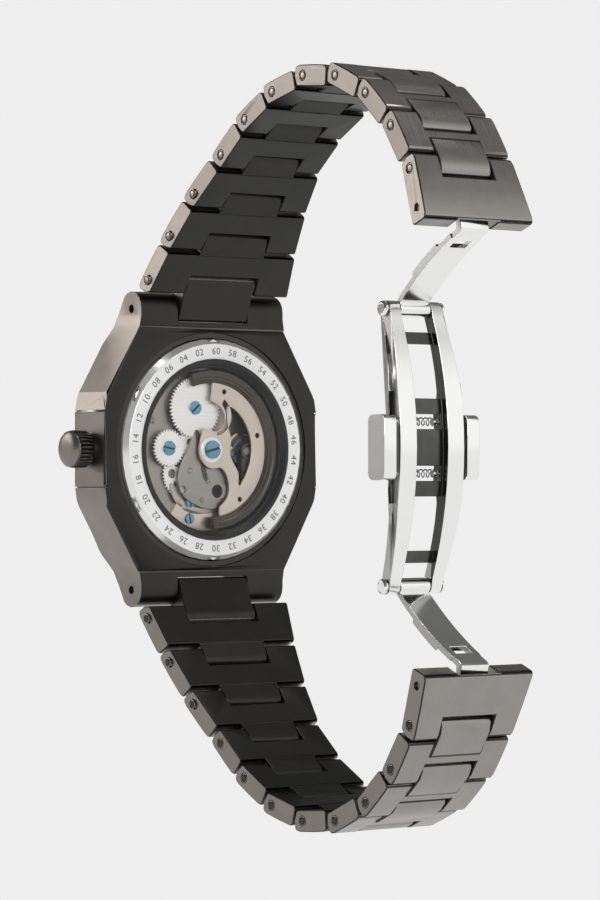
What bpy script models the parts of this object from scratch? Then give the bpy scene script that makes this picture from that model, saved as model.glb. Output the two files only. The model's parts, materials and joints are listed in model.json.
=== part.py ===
"""Automatic wristwatch on a steel link bracelet with a folding butterfly clasp.

Frame: +X points to the crown, +Y out of the case back towards the wrist, +Z to twelve o'clock.
The origin is the centre of the outer face of the back crystal. Sizes below are in millimetres
and become metres when a mesh is made. The bracelet stands open in a loop, clasp unfolded.
"""
import math

import bmesh
import bpy
import numpy as np
from mathutils import Matrix, Vector

MM = 0.001

# --- driving dimensions: case ---
BACK_PLANE = -1.0        # rear face of the middle case
FRONT_PLANE = -9.3       # front face of the middle case
EAR_HALF_WIDTH = 20.8    # widest point of the case, at the ears
LUG_HALF_WIDTH = 13.9
LUG_PIN = (-3.7, 22.0)   # Y and Z of the pin through the upper lugs
LUG_TIP_RADIUS = 2.75
NOTCH_HALF_WIDTH = 6.85
CROWN_Y = -5.3
MOVEMENT_RADIUS = 13.1
BALANCE_CENTRE = (-7.4, -0.2)
RATCHET_CENTRE = (2.6, 6.6)
CROWN_WHEEL_CENTRE = (7.7, 0.2)
REVERSER_CENTRE = (4.6, -3.8)

# --- driving dimensions: bracelet ---
LINK_COUNT = 10
PITCH = 7.8
END_LINK_PITCH = 5.7
CLASP_LINK_PITCH = 6.3
FIRST_WIDTH = 26.6
LAST_WIDTH = 19.0
TAPER_PER_LINK = 2.55
CLASP_LINK_WIDTH = 20.2
HALF_THICK = 1.6
TONGUE_SHARE = 0.5       # tongue width over link width
SIDE_GAP = 0.14
PIN_RADIUS = 0.6
BORE_RADIUS = 0.68

# --- driving dimensions: clasp ---
PIVOT_Y = 48.2           # frame hinges
PIVOT_Z = 20.4
RAIL_SAG = 4.0           # how far the rails bow out at mid length
RAIL_HALF_HEIGHT = 1.0
RAIL_INNER = 2.95
RAIL_OUTER = 5.0           # at the hinges; the rails flare to the box
BOX_OUTER = 6.1
BOX_HALF_LENGTH = 8.4
BLADE_HALF = 2.8
CLOSED_LEAN = 22.0       # blade chord against the frame when folded
BOX_DROP = 0.75          # how much deeper the middle box is than the rails
PLUNGER_Y = RAIL_SAG - 1.0
PLUNGER_Z = 3.8


def degrees_to_rad(values):
    return [math.radians(v) for v in values]


def link_angles():
    """Direction of the end link, the ten links and the clasp link, from +Z towards +Y.

    The bend at each hinge is five degrees plus a smooth hump centred on the seventh hinge.
    """
    angles = [40.0, 30.5]
    for hinge in range(1, LINK_COUNT + 1):
        angles.append(angles[-1] + 5.0 + 14.2 * math.exp(-(((hinge - 7) / 3.3) ** 2)))
    return degrees_to_rad(angles)


def chain_points():
    """Pin centres (Y, Z) of the upper chain, from the lug pin to the clasp bar."""
    lengths = [END_LINK_PITCH] + [PITCH] * LINK_COUNT + [CLASP_LINK_PITCH]
    points = [LUG_PIN]
    for angle, length in zip(link_angles(), lengths):
        y, z = points[-1]
        points.append((y + length * math.sin(angle), z + length * math.cos(angle)))
    return points


def link_width(index):
    """Width at the pin of link 1 to 10; each link narrows towards the next one's width."""
    return max(LAST_WIDTH, FIRST_WIDTH - TAPER_PER_LINK * (index - 1))


# --- materials ---
def material(name, colour, roughness, metallic):
    made = bpy.data.materials.new(name)
    made.use_nodes = True
    shader = made.node_tree.nodes["Principled BSDF"]
    shader.inputs["Base Color"].default_value = (*colour, 1.0)
    shader.inputs["Roughness"].default_value = roughness
    shader.inputs["Metallic"].default_value = metallic
    return made


FINISHES = {
    "gunmetal": ((0.16, 0.145, 0.13), 0.34, 1.0),
    "steel": ((0.62, 0.62, 0.61), 0.2, 1.0),
    "brass": ((0.45, 0.4, 0.33), 0.32, 1.0),
    "nickel": ((0.55, 0.52, 0.48), 0.3, 1.0),
    "sapphire": ((0.9, 0.93, 0.95), 0.05, 0.0),
    "dial": ((0.02, 0.022, 0.026), 0.5, 0.0),
    "rubber": ((0.02, 0.02, 0.02), 0.7, 0.0),
    "polymer": ((0.05, 0.05, 0.05), 0.6, 0.0),
    "spring": ((0.5, 0.5, 0.5), 0.3, 1.0),
}


# --- mesh tools ---
def to_object(name, bm, finish="gunmetal"):
    """A new object holding bm, scaled from millimetres to metres, normals facing out."""
    bmesh.ops.recalc_face_normals(bm, faces=bm.faces)
    bmesh.ops.scale(bm, vec=(MM, MM, MM), verts=bm.verts)
    mesh = bpy.data.meshes.new(name)
    bm.to_mesh(mesh)
    bm.free()
    made = bpy.data.objects.new(name, mesh)
    bpy.context.scene.collection.objects.link(made)
    mesh.materials.append(material(name, *FINISHES[finish]))
    made["finish"] = finish
    return made


def add_prism(bm, outline, axis, low, high):
    """Extrude a 2-D outline along an axis: 'X' takes (Y, Z), 'Y' takes (X, Z)."""
    def place(a, b, depth):
        return (depth, a, b) if axis == "X" else (a, depth, b)
    first = [bm.verts.new(place(a, b, low)) for a, b in outline]
    last = [bm.verts.new(place(a, b, high)) for a, b in outline]
    bm.faces.new(first)
    bm.faces.new(last)
    for i in range(len(outline)):
        j = (i + 1) % len(outline)
        bm.faces.new((first[i], first[j], last[j], last[i]))


def prism(name, outline, axis, low, high, finish="gunmetal"):
    bm = bmesh.new()
    add_prism(bm, outline, axis, low, high)
    return to_object(name, bm, finish)


def add_box(bm, low, high):
    middle = [(a + b) / 2 for a, b in zip(low, high)]
    size = [b - a for a, b in zip(low, high)]
    matrix = Matrix.Translation(middle) @ Matrix.Diagonal((*size, 1.0))
    bmesh.ops.create_cube(bm, size=1.0, matrix=matrix)


TURNS = {
    "X": Matrix.Rotation(math.pi / 2, 4, "Y"),
    "Y": Matrix.Rotation(-math.pi / 2, 4, "X"),
    "Z": Matrix.Identity(4),
}


def add_cylinder(bm, radius, axis, low, high, centre=(0, 0), segments=16):
    """A cylinder along axis from low to high; centre is the other two coordinates."""
    spot = {"X": (0, centre[0], centre[1]), "Y": (centre[0], 0, centre[1]),
            "Z": (centre[0], centre[1], 0)}[axis]
    along = {"X": (1, 0, 0), "Y": (0, 1, 0), "Z": (0, 0, 1)}[axis]
    place = Vector(spot) + Vector(along) * (low + high) / 2
    bmesh.ops.create_cone(bm, cap_ends=True, segments=segments, radius1=radius, radius2=radius,
                          depth=high - low, matrix=Matrix.Translation(place) @ TURNS[axis])


def add_turned(bm, profile, axis="Y", centre=(0, 0), segments=48):
    """Turn a profile of (radius, height) pairs round an axis.

    A profile that starts and ends on the axis makes a solid; any other is closed into a ring.
    """
    solid = profile[0][0] == 0 and profile[-1][0] == 0
    def place(radius, height, angle):
        a = radius * math.cos(angle) + centre[0]
        b = radius * math.sin(angle) + centre[1]
        return (a, height, b) if axis == "Y" else (height, a, b)
    rings = []
    for radius, height in profile:
        if radius == 0:
            rings.append([bm.verts.new(place(0, height, 0))] * segments)
        else:
            rings.append([bm.verts.new(place(radius, height, 2 * math.pi * k / segments))
                          for k in range(segments)])
    pairs = list(zip(rings, rings[1:])) + ([] if solid else [(rings[-1], rings[0])])
    for low, high in pairs:
        for k in range(segments):
            corners = [low[k], low[(k + 1) % segments], high[(k + 1) % segments], high[k]]
            unique = list(dict.fromkeys(corners))
            if len(unique) > 2:
                bm.faces.new(unique)


def turned(name, profile, finish="gunmetal", axis="Y", centre=(0, 0), segments=36):
    bm = bmesh.new()
    add_turned(bm, profile, axis, centre, segments)
    return to_object(name, bm, finish)


def arc(centre, radius, start, end, steps):
    """Points on an arc, angles in degrees from the first coordinate's axis."""
    sweep = np.radians(np.linspace(start, end, steps))
    return [(centre[0] + radius * math.cos(a), centre[1] + radius * math.sin(a)) for a in sweep]


def boolean(target, tool, operation="DIFFERENCE"):
    """Cut or join target with tool; the result becomes target's mesh and tool goes away."""
    step = target.modifiers.new("step", "BOOLEAN")
    step.operation = operation
    step.object = tool
    bpy.context.view_layer.update()
    graph = bpy.context.evaluated_depsgraph_get()
    result = bpy.data.meshes.new_from_object(target.evaluated_get(graph))
    target.modifiers.clear()
    target.data = result
    result.materials.clear()
    result.materials.append(material(target.name, *FINISHES[target["finish"]]))
    bpy.data.objects.remove(tool)


def tool(fill):
    """A helper solid for a boolean, filled in by the given function."""
    bm = bmesh.new()
    fill(bm)
    made = to_object("helper", bm)
    made.hide_render = True
    made.display_type = "WIRE"
    return made


def smooth(target):
    target.data.shade_smooth()
    target.data.set_sharp_from_angle(angle=math.radians(32))


# --- case ---
def case_outline():
    """Case plan (X, Z): lugs, slanted flanks and the two ears, mirrored about both axes."""
    quarter = [(EAR_HALF_WIDTH, 5.6), (EAR_HALF_WIDTH - 0.55, 8.9), (14.2, 19.2),
               (LUG_HALF_WIDTH, 21.0), (LUG_HALF_WIDTH, 25.5)]
    right = [(x, -z) for x, z in reversed(quarter)] + quarter
    return right + [(-x, -z) for x, z in right]


def case_side():
    """Case side view (Y, Z): rounded lug tips about the pins, front shoulders."""
    y, z = LUG_PIN
    tip = arc((y, z), LUG_TIP_RADIUS, 0, 135, 8)
    upper = [(BACK_PLANE, 18.6), (BACK_PLANE + 0.02, 20.4)] + tip + [(-7.6, 20.6), (FRONT_PLANE, 16.4)]
    return upper + [(a, -b) for a, b in reversed(upper)]


def make_mid_case():
    case = prism("mid_case", case_outline(), "Y", FRONT_PLANE, BACK_PLANE + 0.05)
    boolean(case, tool(lambda bm: add_prism(bm, case_side(), "X", -22, 22)), "INTERSECT")

    def hollows(bm):
        profile = [(0, FRONT_PLANE - 1), (15.55, FRONT_PLANE - 1), (15.55, -2.75), (17.65, -2.75),
                   (17.65, BACK_PLANE - 0.35), (18.5, BACK_PLANE - 0.35), (18.7, 1.0), (0, 1.0)]
        add_turned(bm, profile, segments=44)
    boolean(case, tool(hollows))

    def notches(bm):
        for side in (1, -1):
            low, high = sorted((side * 20.1, side * 27.0))
            add_box(bm, (-NOTCH_HALF_WIDTH, -12, low), (NOTCH_HALF_WIDTH, 3, high))
    boolean(case, tool(notches))

    def bores(bm):
        for side in (1, -1):
            add_cylinder(bm, BORE_RADIUS, "X", -15, 15, (LUG_PIN[0], side * LUG_PIN[1]), 8)
        add_cylinder(bm, 1.62, "X", 14.0, 23.0, (CROWN_Y, 0), 20)
    boolean(case, tool(bores))

    def grooves(bm):
        for across in (1, -1):
            for along in (1, -1):
                low, high = sorted((across * 20.35, across * 22.0))
                add_box(bm, (low, -12, along * 5.95 - 0.09), (high, 3, along * 5.95 + 0.09))
    boolean(case, tool(grooves))
    bm = bmesh.new()
    bm.from_mesh(case.data)
    sharp = [e for e in bm.edges if e.calc_length() > 0.004 and on_outer_rim(e)]
    bmesh.ops.bevel(bm, geom=sharp, offset=0.35 * MM, segments=1, affect="EDGES")
    bm.to_mesh(case.data)
    bm.free()
    smooth(case)


def on_outer_rim(edge):
    """Long straight edges between the flank and the rear or front plane."""
    ys = [v.co.y / MM for v in edge.verts]
    out = min(math.hypot(v.co.x, v.co.z) / MM for v in edge.verts) > 19.2
    flat = abs(ys[0] - ys[1]) < 0.01
    rim = abs(ys[0] - BACK_PLANE - 0.02) < 0.06 or abs(ys[0] - FRONT_PLANE) < 0.01
    return out and flat and rim and abs(edge.verts[0].co.x) > 14 * MM


def bezel_outline():
    """Rounded octagon (X, Z): flats at 18.5, corners clipped by a circle of 19.3."""
    points = []
    for k in range(40):
        angle = 2 * math.pi * (k + 0.5) / 40
        local = (angle + math.pi / 8) % (math.pi / 4) - math.pi / 8
        radius = min(18.5 / math.cos(local), 19.3)
        points.append((radius * math.cos(angle), radius * math.sin(angle)))
    return points


def make_front():
    bezel = prism("bezel", bezel_outline(), "Y", -11.2, FRONT_PLANE - 0.05)
    boolean(bezel, tool(lambda bm: add_turned(
        bm, [(0, -13), (15.75, -13), (15.75, -10.2), (14.6, -10.2), (14.6, -8), (0, -8)])))
    bm = bmesh.new()
    bm.from_mesh(bezel.data)
    rim = [e for e in bm.edges if all(v.co.y < -11.1 * MM and v.co.xz.length > 17 * MM for v in e.verts)]
    bmesh.ops.bevel(bm, geom=rim, offset=0.8 * MM, segments=1, affect="EDGES")
    bm.to_mesh(bezel.data)
    bm.free()
    smooth(bezel)
    smooth(turned("front_crystal", [(0, -11.9), (14.9, -11.9), (15.65, -11.3), (15.65, -10.3), (0, -10.3)],
                  "sapphire"))
    smooth(turned("dial", [(1.05, -8.45), (15.3, -8.45), (15.3, -8.1), (1.05, -8.1)], "dial"))


def make_hands():
    """Three coaxial hands on their tubes, pointing at rest to about ten past ten."""
    def hand(name, length, half_width, tail, top, tube, angle, centre_radius):
        outline = [(-half_width, 0.5), (-half_width * 0.7, length * 0.8), (0, length),
                   (half_width * 0.7, length * 0.8), (half_width, 0.5), (half_width, -tail), (-half_width, -tail)]
        made = prism(name, outline, "Y", top, top + 0.14, "steel")
        outer, inner, depth = tube
        boolean(made, tool(lambda bm: add_cylinder(bm, centre_radius, "Y", top, top + 0.14, (0, 0), 20)),
                "UNION")
        boolean(made, tool(lambda bm: add_cylinder(bm, outer, "Y", top + 0.05, depth, (0, 0), 20)), "UNION")
        if inner:
            boolean(made, tool(lambda bm: add_cylinder(bm, inner, "Y", top - 1, depth + 1, (0, 0), 16)))
        made.rotation_euler = (0, angle, 0)
        smooth(made)
    hand("hour_hand", 8.2, 0.75, 2.0, -8.75, (0.9, 0.66, -8.2), math.radians(55.5), 1.25)
    hand("minute_hand", 12.4, 0.55, 2.6, -9.05, (0.58, 0.36, -8.15), math.radians(-54), 1.0)
    hand("second_hand", 13.2, 0.2, 4.0, -9.35, (0.28, 0, -8.12), math.radians(150), 0.7)


def make_back():
    ring = turned("case_back_ring", [
        (13.1, -0.75), (14.35, -0.75), (14.35, -0.2), (16.75, -0.2), (17.5, -0.95), (17.5, -1.9),
        (16.2, -2.2), (16.2, -2.6), (13.1, -2.6)], "steel", segments=48)

    def notches(bm):
        for k in range(6):
            angle = math.radians(30 + 60 * k)
            spot = Matrix.Rotation(angle, 4, "Y") @ Matrix.Translation((17.6, -0.5, 0))
            bmesh.ops.create_cube(bm, size=1.0, matrix=spot @ Matrix.Diagonal((1.1, 0.8, 2.4, 1)))
    boolean(ring, tool(notches))
    smooth(ring)
    smooth(turned("back_crystal", [(0, -0.65), (14.25, -0.65), (14.25, -0.12), (14.0, 0), (0, 0)],
                  "sapphire"))


def make_crown():
    """Knurled crown with its domed cap, stem, case tube and the ring seal inside the crown."""
    crown = turned("crown", [
        (0, 25.15), (1.6, 25.1), (2.45, 24.85), (2.75, 24.5), (2.95, 24.2), (2.95, 21.75), (2.7, 21.45),
        (2.05, 21.45), (2.05, 23.6), (0, 23.6)], axis="X", centre=(CROWN_Y, 0), segments=32)

    def flutes(bm):
        for k in range(16):
            angle = 2 * math.pi * k / 16
            spot = (CROWN_Y + 3.05 * math.cos(angle), 3.05 * math.sin(angle))
            add_cylinder(bm, 0.2, "X", 21.0, 24.45, spot, 6)
    boolean(crown, tool(flutes))
    smooth(crown)
    smooth(turned("stem", [(0, 13.6), (0.5, 13.6), (0.5, 22.9), (0.8, 22.9), (0.8, 23.5), (0, 23.5)],
                  "steel", "X", (CROWN_Y, 0), 20))
    smooth(turned("crown_tube", [(0.62, 19.3), (1.5, 19.3), (1.5, 22.6), (0.62, 22.6)],
                  "steel", "X", (CROWN_Y, 0), 24))
    smooth(turned("crown_gasket", [(1.58, 22.0), (1.97, 22.0), (1.97, 22.5), (1.58, 22.5)],
                  "rubber", "X", (CROWN_Y, 0), 24))


# --- movement ---
def sector(inner, outer, start, end, steps):
    """Closed outline of a ring sector in (X, Z)."""
    return arc((0, 0), outer, start, end, steps) + arc((0, 0), inner, end, start, steps)


def make_movement():
    smooth(turned("movement_holder", [(13.4, -7.9), (15.4, -7.9), (15.4, -3.0), (14.4, -2.75), (13.4, -3.2)],
                  "polymer", segments=32))
    holder = bpy.data.objects["movement_holder"]
    boolean(holder, tool(lambda bm: add_cylinder(bm, 0.75, "X", 12, 17, (CROWN_Y, 0), 12)))
    smooth(turned("main_plate", [(1.25, -7.9), (MOVEMENT_RADIUS, -7.9), (MOVEMENT_RADIUS, -4.45),
                                 (1.25, -4.45)], "brass", segments=32))
    plate = bpy.data.objects["main_plate"]
    boolean(plate, tool(lambda bm: add_cylinder(bm, 0.6, "X", 12.0, 14.0, (CROWN_Y, 0), 12)))
    smooth(prism("train_bridge", sector(2.4, 12.6, -70, 140, 16), "Y", -4.35, -3.25, "nickel"))
    cock = prism("balance_cock", [(-10.6, -6.4), (-8.7, -0.6), (-7.8, 0.9), (-6.6, 0.3), (-6.5, -3.5),
                                  (-6.6, -8.2), (-8.2, -9.0)], "Y", -2.6, -2.05, "nickel")
    foot = [(-10.2, -6.4), (-6.8, -5.2), (-6.8, -8.0), (-8.2, -8.7)]
    boolean(cock, tool(lambda bm: add_prism(bm, foot, "Y", -4.35, -2.5)), "UNION")
    smooth(turned("balance_wheel", [(0.3, -3.7), (0.7, -3.7), (0.7, -3.45), (2.6, -3.45), (2.6, -3.7),
                                    (3.1, -3.7), (3.1, -3.2), (0.3, -3.2)], "brass",
                  centre=BALANCE_CENTRE, segments=20))
    smooth(turned("ratchet_wheel", [(0.45, -2.55), (4.9, -2.55), (4.9, -2.2), (0.45, -2.2)], "nickel",
                  centre=RATCHET_CENTRE, segments=28))
    smooth(turned("crown_wheel", [(0.4, -2.55), (3.0, -2.55), (3.0, -2.2), (0.4, -2.2)], "nickel",
                  centre=CROWN_WHEEL_CENTRE, segments=24))
    smooth(turned("reverser_wheel", [(0.35, -3.1), (3.9, -3.1), (3.9, -2.75), (0.35, -2.75)], "nickel",
                  centre=REVERSER_CENTRE, segments=24))


def make_rotor():
    """Openworked half rotor: heavy rim, hub, two horn-shaped arms and a central slot."""
    rotor = prism("rotor", sector(10.6, 12.7, 70, 270, 22), "Y", -1.9, -0.95, "nickel")
    boolean(rotor, tool(lambda bm: add_prism(
        bm, arc((0, 0), 10.7, 88, 268, 18), "Y", -1.75, -1.4)), "UNION")
    boolean(rotor, tool(lambda bm: add_cylinder(bm, 2.3, "Y", -1.9, -1.25, (0, 0), 28)), "UNION")

    def openings(bm):
        for up in (1, -1):
            add_cylinder(bm, 2.7, "Y", -3.0, -1.3, (0.6, up * 4.9), 16)
        slot = arc((0, 0), 8.0, 136, 222, 9) + arc((-9.2, 0), 5.6, -42, 48, 9)
        add_prism(bm, slot, "Y", -3.0, -1.3)
        add_cylinder(bm, 0.9, "Y", -3.0, -1.0, (0, 0), 16)
    boolean(rotor, tool(openings))
    smooth(rotor)
    smooth(turned("rotor_screw", [(0, -2.9), (0.8, -2.9), (0.8, -1.2), (1.45, -1.2), (1.45, -0.8), (0, -0.8)],
                  "steel", segments=24))


# --- bracelet ---
def cheek_outline(front):
    """Side view (Y, Z) of a link's cheeks; the outer face is at -Y, the pin at the origin."""
    h = HALF_THICK
    return [(0.2, -1.92), (-1.05, -1.92), (-1.42, -1.65), (-h, -0.9), (-h - 0.06, (front - 1) / 2),
            (-h, front - 0.75), (-1.42, front - 0.2), (-1.05, front), (1.3, front), (h, front - 0.3),
            (h, -1.15), (1.35, -1.42)]


def tongue_outline(start, pin):
    """Side view (Y, Z) of the tongue: raised outer face, round tip about the next pin."""
    tip = arc((0, pin), 1.5, 0, 150, 6)
    return [(1.5, start), (-1.5, start), (-1.82, start + 0.25), (-1.86, (start + pin) / 2),
            (-1.8, pin - 0.5)] + [p for p in reversed(tip)]


def link_mesh(name, rear_width, front_width, pitch, front, clasp=False):
    """One link in its own frame: pin at the origin, +Z to the next pin, outer face at -Y."""
    tongue = rear_width * TONGUE_SHARE / 2
    made = prism(name, cheek_outline(front), "X", -rear_width / 2, rear_width / 2)

    def rear_cuts(bm):
        add_box(bm, (-tongue - SIDE_GAP, -3, -3), (tongue + SIDE_GAP, 3, 1.8))
        for side in (1, -1):
            low, high = sorted((side * (rear_width / 2 - 0.35), side * (rear_width / 2 + 1)))
            add_cylinder(bm, 0.72, "X", low, high, (0, 0), 8)
            if clasp:
                add_cylinder(bm, 0.55, "X", low, high, (0, pitch), 8)
    boolean(made, tool(rear_cuts))

    def additions(bm):
        add_cylinder(bm, PIN_RADIUS, "X", -tongue - 1.5, tongue + 1.5, (0, 0), 8)
        if not clasp:
            add_prism(bm, tongue_outline(3.1, pitch), "X", -tongue, tongue)
    boolean(made, tool(additions), "UNION")
    if clasp:
        boolean(made, tool(lambda bm: add_box(bm, (-3.6, -1.3, 2.95), (3.6, 3, pitch + 5))))
        boolean(made, tool(lambda bm: add_cylinder(bm, 0.5, "X", -6.5, 6.5, (0, pitch), 8)))
    else:
        boolean(made, tool(lambda bm: add_cylinder(bm, BORE_RADIUS, "X", -15, 15, (0, pitch), 8)))
    for vertex in made.data.vertices:
        vertex.co.x *= 1 + (front_width / rear_width - 1) * vertex.co.z / (pitch * MM)
    smooth(made)
    return made


def end_link_mesh(name):
    """Short centre link between the lugs and link 1, bored for a pin at each end."""
    outline = (arc((0, END_LINK_PITCH), 1.5, 0, 180, 8) + arc((0, 0), 1.5, 180, 285, 6)
               + [(1.9, -0.75), (3.0, 0.3), (3.0, 0.75), (1.62, 4.4)])
    half = FIRST_WIDTH * TONGUE_SHARE / 2
    made = prism(name, outline, "X", -half, half)
    for pin in (0, END_LINK_PITCH):
        boolean(made, tool(lambda bm, pin=pin: add_cylinder(bm, BORE_RADIUS, "X", -15, 15, (0, pin), 8)))
    smooth(made)
    return made


def place(target, point, angle, upper):
    """Set the piece on its pin, +Z along the chain and -Y outwards, in the upper or lower chain."""
    y, z = point
    target.location = (0, y * MM, (z if upper else -z) * MM)
    target.rotation_euler = (-angle, 0, 0) if upper else (-angle - math.pi, 0, math.pi)


def make_bracelet():
    points, angles = chain_points(), link_angles()
    straight = None
    for upper, side in ((True, "upper"), (False, "lower")):
        place(end_link_mesh(f"{side}_end_link"), points[0], angles[0], upper)
        for index in range(1, LINK_COUNT + 1):
            name = f"{side}_link_{index:02d}"
            rear, front = link_width(index), link_width(index + 1)
            if rear == front and straight:
                made = bpy.data.objects.new(name, straight)
                bpy.context.scene.collection.objects.link(made)
            else:
                made = link_mesh(name, rear, front, PITCH, PITCH - 2.15)
                straight = made.data if rear == front else straight
            place(made, points[index], angles[index], upper)
        clasp = link_mesh(f"{side}_clasp_link", LAST_WIDTH, CLASP_LINK_WIDTH, CLASP_LINK_PITCH,
                          CLASP_LINK_PITCH + 2.2, clasp=True)
        place(clasp, points[LINK_COUNT + 1], angles[-1], upper)
        low, high = -5.6, 5.6
        bar = turned(f"{side}_clasp_bar", [(0, low), (0.3, low), (0.3, -3.9), (0.42, -3.9), (0.42, 3.9),
                                           (0.3, 3.9), (0.3, high), (0, high)] if upper else
                     [(0, -3.0), (0.42, -3.0), (0.42, 3.0), (0, 3.0)], "steel", "X", segments=12)
        place(bar, points[-1], angles[-1], upper)
        pin = turned(f"{side}_case_pin", [(0, -13.3), (PIN_RADIUS, -13.3), (PIN_RADIUS, 13.3), (0, 13.3)],
                     "steel", "X", segments=12)
        place(pin, points[0], 0, upper)
        smooth(bar)
        smooth(pin)


# --- clasp ---
def rail_y(z, offset=0.0):
    """Bow of the rails: a parabola from the hinges to the middle."""
    return RAIL_SAG * (1 - (z / PIVOT_Z) ** 2) + offset


def frame_outline():
    """Side view (Y, Z) of the rails: round ends about the hinges, a deeper box at mid length."""
    steps = np.linspace(-PIVOT_Z + 1.2, PIVOT_Z - 1.2, 15)
    def depth(z):
        return -RAIL_HALF_HEIGHT - BOX_DROP * min(1.0, max(0.0, (8.4 - abs(z)) / 1.6))
    inner = [(rail_y(z, depth(z)), z) for z in steps]
    outer = [(rail_y(z, RAIL_HALF_HEIGHT), z) for z in reversed(steps)]
    top = arc((0, PIVOT_Z), 1.2, 160, 20, 6)
    return inner + top + outer + [(y, -z) for y, z in reversed(top)]


def make_clasp_frame():
    bm = bmesh.new()
    add_prism(bm, frame_outline(), "X", -RAIL_OUTER, RAIL_OUTER)
    bmesh.ops.triangulate(bm, faces=bm.faces)
    for vertex in bm.verts:
        share = min(1.0, max(0.0, (PIVOT_Z - abs(vertex.co.z)) / (PIVOT_Z - BOX_HALF_LENGTH)))
        vertex.co.x = math.copysign(RAIL_OUTER + (BOX_OUTER - RAIL_OUTER) * share, vertex.co.x)
    frame = to_object("clasp_frame", bm)

    def windows(bm):
        for side in (1, -1):
            for low, high in ((7.2, 15.2), (17.0, 24.0)):
                a, b = sorted((side * low, side * high))
                add_box(bm, (-RAIL_INNER, -4, a), (RAIL_INNER, 8, b))
            a, b = sorted((side * (PLUNGER_Z - 1.1), side * (PLUNGER_Z + 1.1)))
            add_box(bm, (-2.5, -4, a), (2.5, 8, b))
    boolean(frame, tool(windows))

    def blade_way(bm):
        floor = [(rail_y(z, -0.05), z) for z in np.linspace(-24, 24, 17)]
        add_prism(bm, floor + [(9, 24), (9, -24)], "X", -RAIL_INNER, RAIL_INNER)
    boolean(frame, tool(blade_way))

    def holes(bm):
        for side in (1, -1):
            add_cylinder(bm, 0.72, "X", -8, 8, (0, side * PIVOT_Z), 12)
            add_cylinder(bm, 0.47, "X", -8, 8, (PLUNGER_Y, side * PLUNGER_Z), 10)
    boolean(frame, tool(holes))
    frame.location = (0, PIVOT_Y * MM, 0)
    smooth(frame)


def blade_angles():
    """Blade chord length, and how far the blade turns from open to folded."""
    bar_y, bar_z = chain_points()[-1]
    chord = math.hypot(bar_y - PIVOT_Y, bar_z - PIVOT_Z)
    opened = math.pi + math.atan2(bar_y - PIVOT_Y, bar_z - PIVOT_Z)
    return chord, 2 * math.pi - math.radians(CLOSED_LEAN) - opened


def make_blade(side):
    """A folding blade, drawn folded on the rails' bow, then turned open about its hinge."""
    upper = 1 if side == "upper" else -1
    chord, fold = blade_angles()
    bar = (chord * math.sin(math.radians(CLOSED_LEAN)), PIVOT_Z - chord * math.cos(math.radians(CLOSED_LEAN)))

    def outer_offset(z):
        return 1.5 if 8.5 < z < 15.0 else 0.95
    inner = [(rail_y(z, 0.1), z) for z in np.linspace(19.4, 3.2, 10)]
    lip = [(rail_y(3.0, 0.4), 2.55), (bar[0] - 0.3, bar[1] - 0.42), (bar[0] - 0.3, bar[1] + 0.48),
           (rail_y(4.0, 1.0), 3.75)]
    outer = [(rail_y(z, outer_offset(z)), z) for z in (5.5, 7.0, 8.4, 8.6, 10.7, 12.8, 14.9, 15.1, 17.0, 18.8)]
    knuckle = [(0.9, 20.2), (0.0, 20.6)]

    def local(points):
        return [(y - bar[0], upper * (z - bar[1])) for y, z in points]
    blade = prism(f"{side}_blade", local(inner + lip + outer + knuckle), "X", -BLADE_HALF, BLADE_HALF)

    def trims(bm):
        for across in (1, -1):
            a, b = sorted((across * 2.6, across * 6.0))
            c, d = sorted((upper * -4.0, upper * (5.0 - bar[1])))
            add_box(bm, (a, -9, c), (b, 4, d))
        a, b = sorted((upper * (5.6 - bar[1]), upper * (7.4 - bar[1])))
        add_box(bm, (-1.5, -9, a), (1.5, 4, b))
    boolean(blade, tool(trims))
    hinge = local([(0, PIVOT_Z)])[0]

    def barrels(bm):
        add_cylinder(bm, 1.2, "X", -BLADE_HALF, BLADE_HALF, hinge, 18)
        add_cylinder(bm, 0.64, "X", -2.6, 2.6, (0, 0), 14)
    boolean(blade, tool(barrels), "UNION")

    def bores(bm):
        add_cylinder(bm, 0.72, "X", -6, 6, hinge, 14)
        add_cylinder(bm, 0.47, "X", -6, 6, (0, 0), 12)
    boolean(blade, tool(bores))
    bar_y, bar_z = chain_points()[-1]
    blade.location = (0, bar_y * MM, upper * bar_z * MM)
    blade.rotation_euler = (upper * fold, 0, 0)
    smooth(blade)


def make_button(side):
    """A push button: a rounded cap outside the rail and two plungers into the middle box."""
    across = 1 if side == "right" else -1
    corner = 1.0
    y_low, y_high, half = PLUNGER_Y - 1.9, PLUNGER_Y + 1.9, 4.8
    outline = (arc((y_high - corner, half - corner), corner, 0, 90, 4)
               + arc((y_low + corner, half - corner), corner, 90, 180, 4)
               + arc((y_low + corner, corner - half), corner, 180, 270, 4)
               + arc((y_high - corner, corner - half), corner, 270, 360, 4))
    low, high = sorted((across * 6.75, across * 9.1))
    button = prism(f"{side}_button", outline, "X", low, high)

    def plungers(bm):
        a, b = sorted((across * 1.3, across * 7.4))
        for up in (1, -1):
            add_cylinder(bm, 0.4, "X", a, b, (PLUNGER_Y, up * PLUNGER_Z), 10)
    boolean(button, tool(plungers), "UNION")
    button.location = (0, PIVOT_Y * MM, 0)
    smooth(button)


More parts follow.
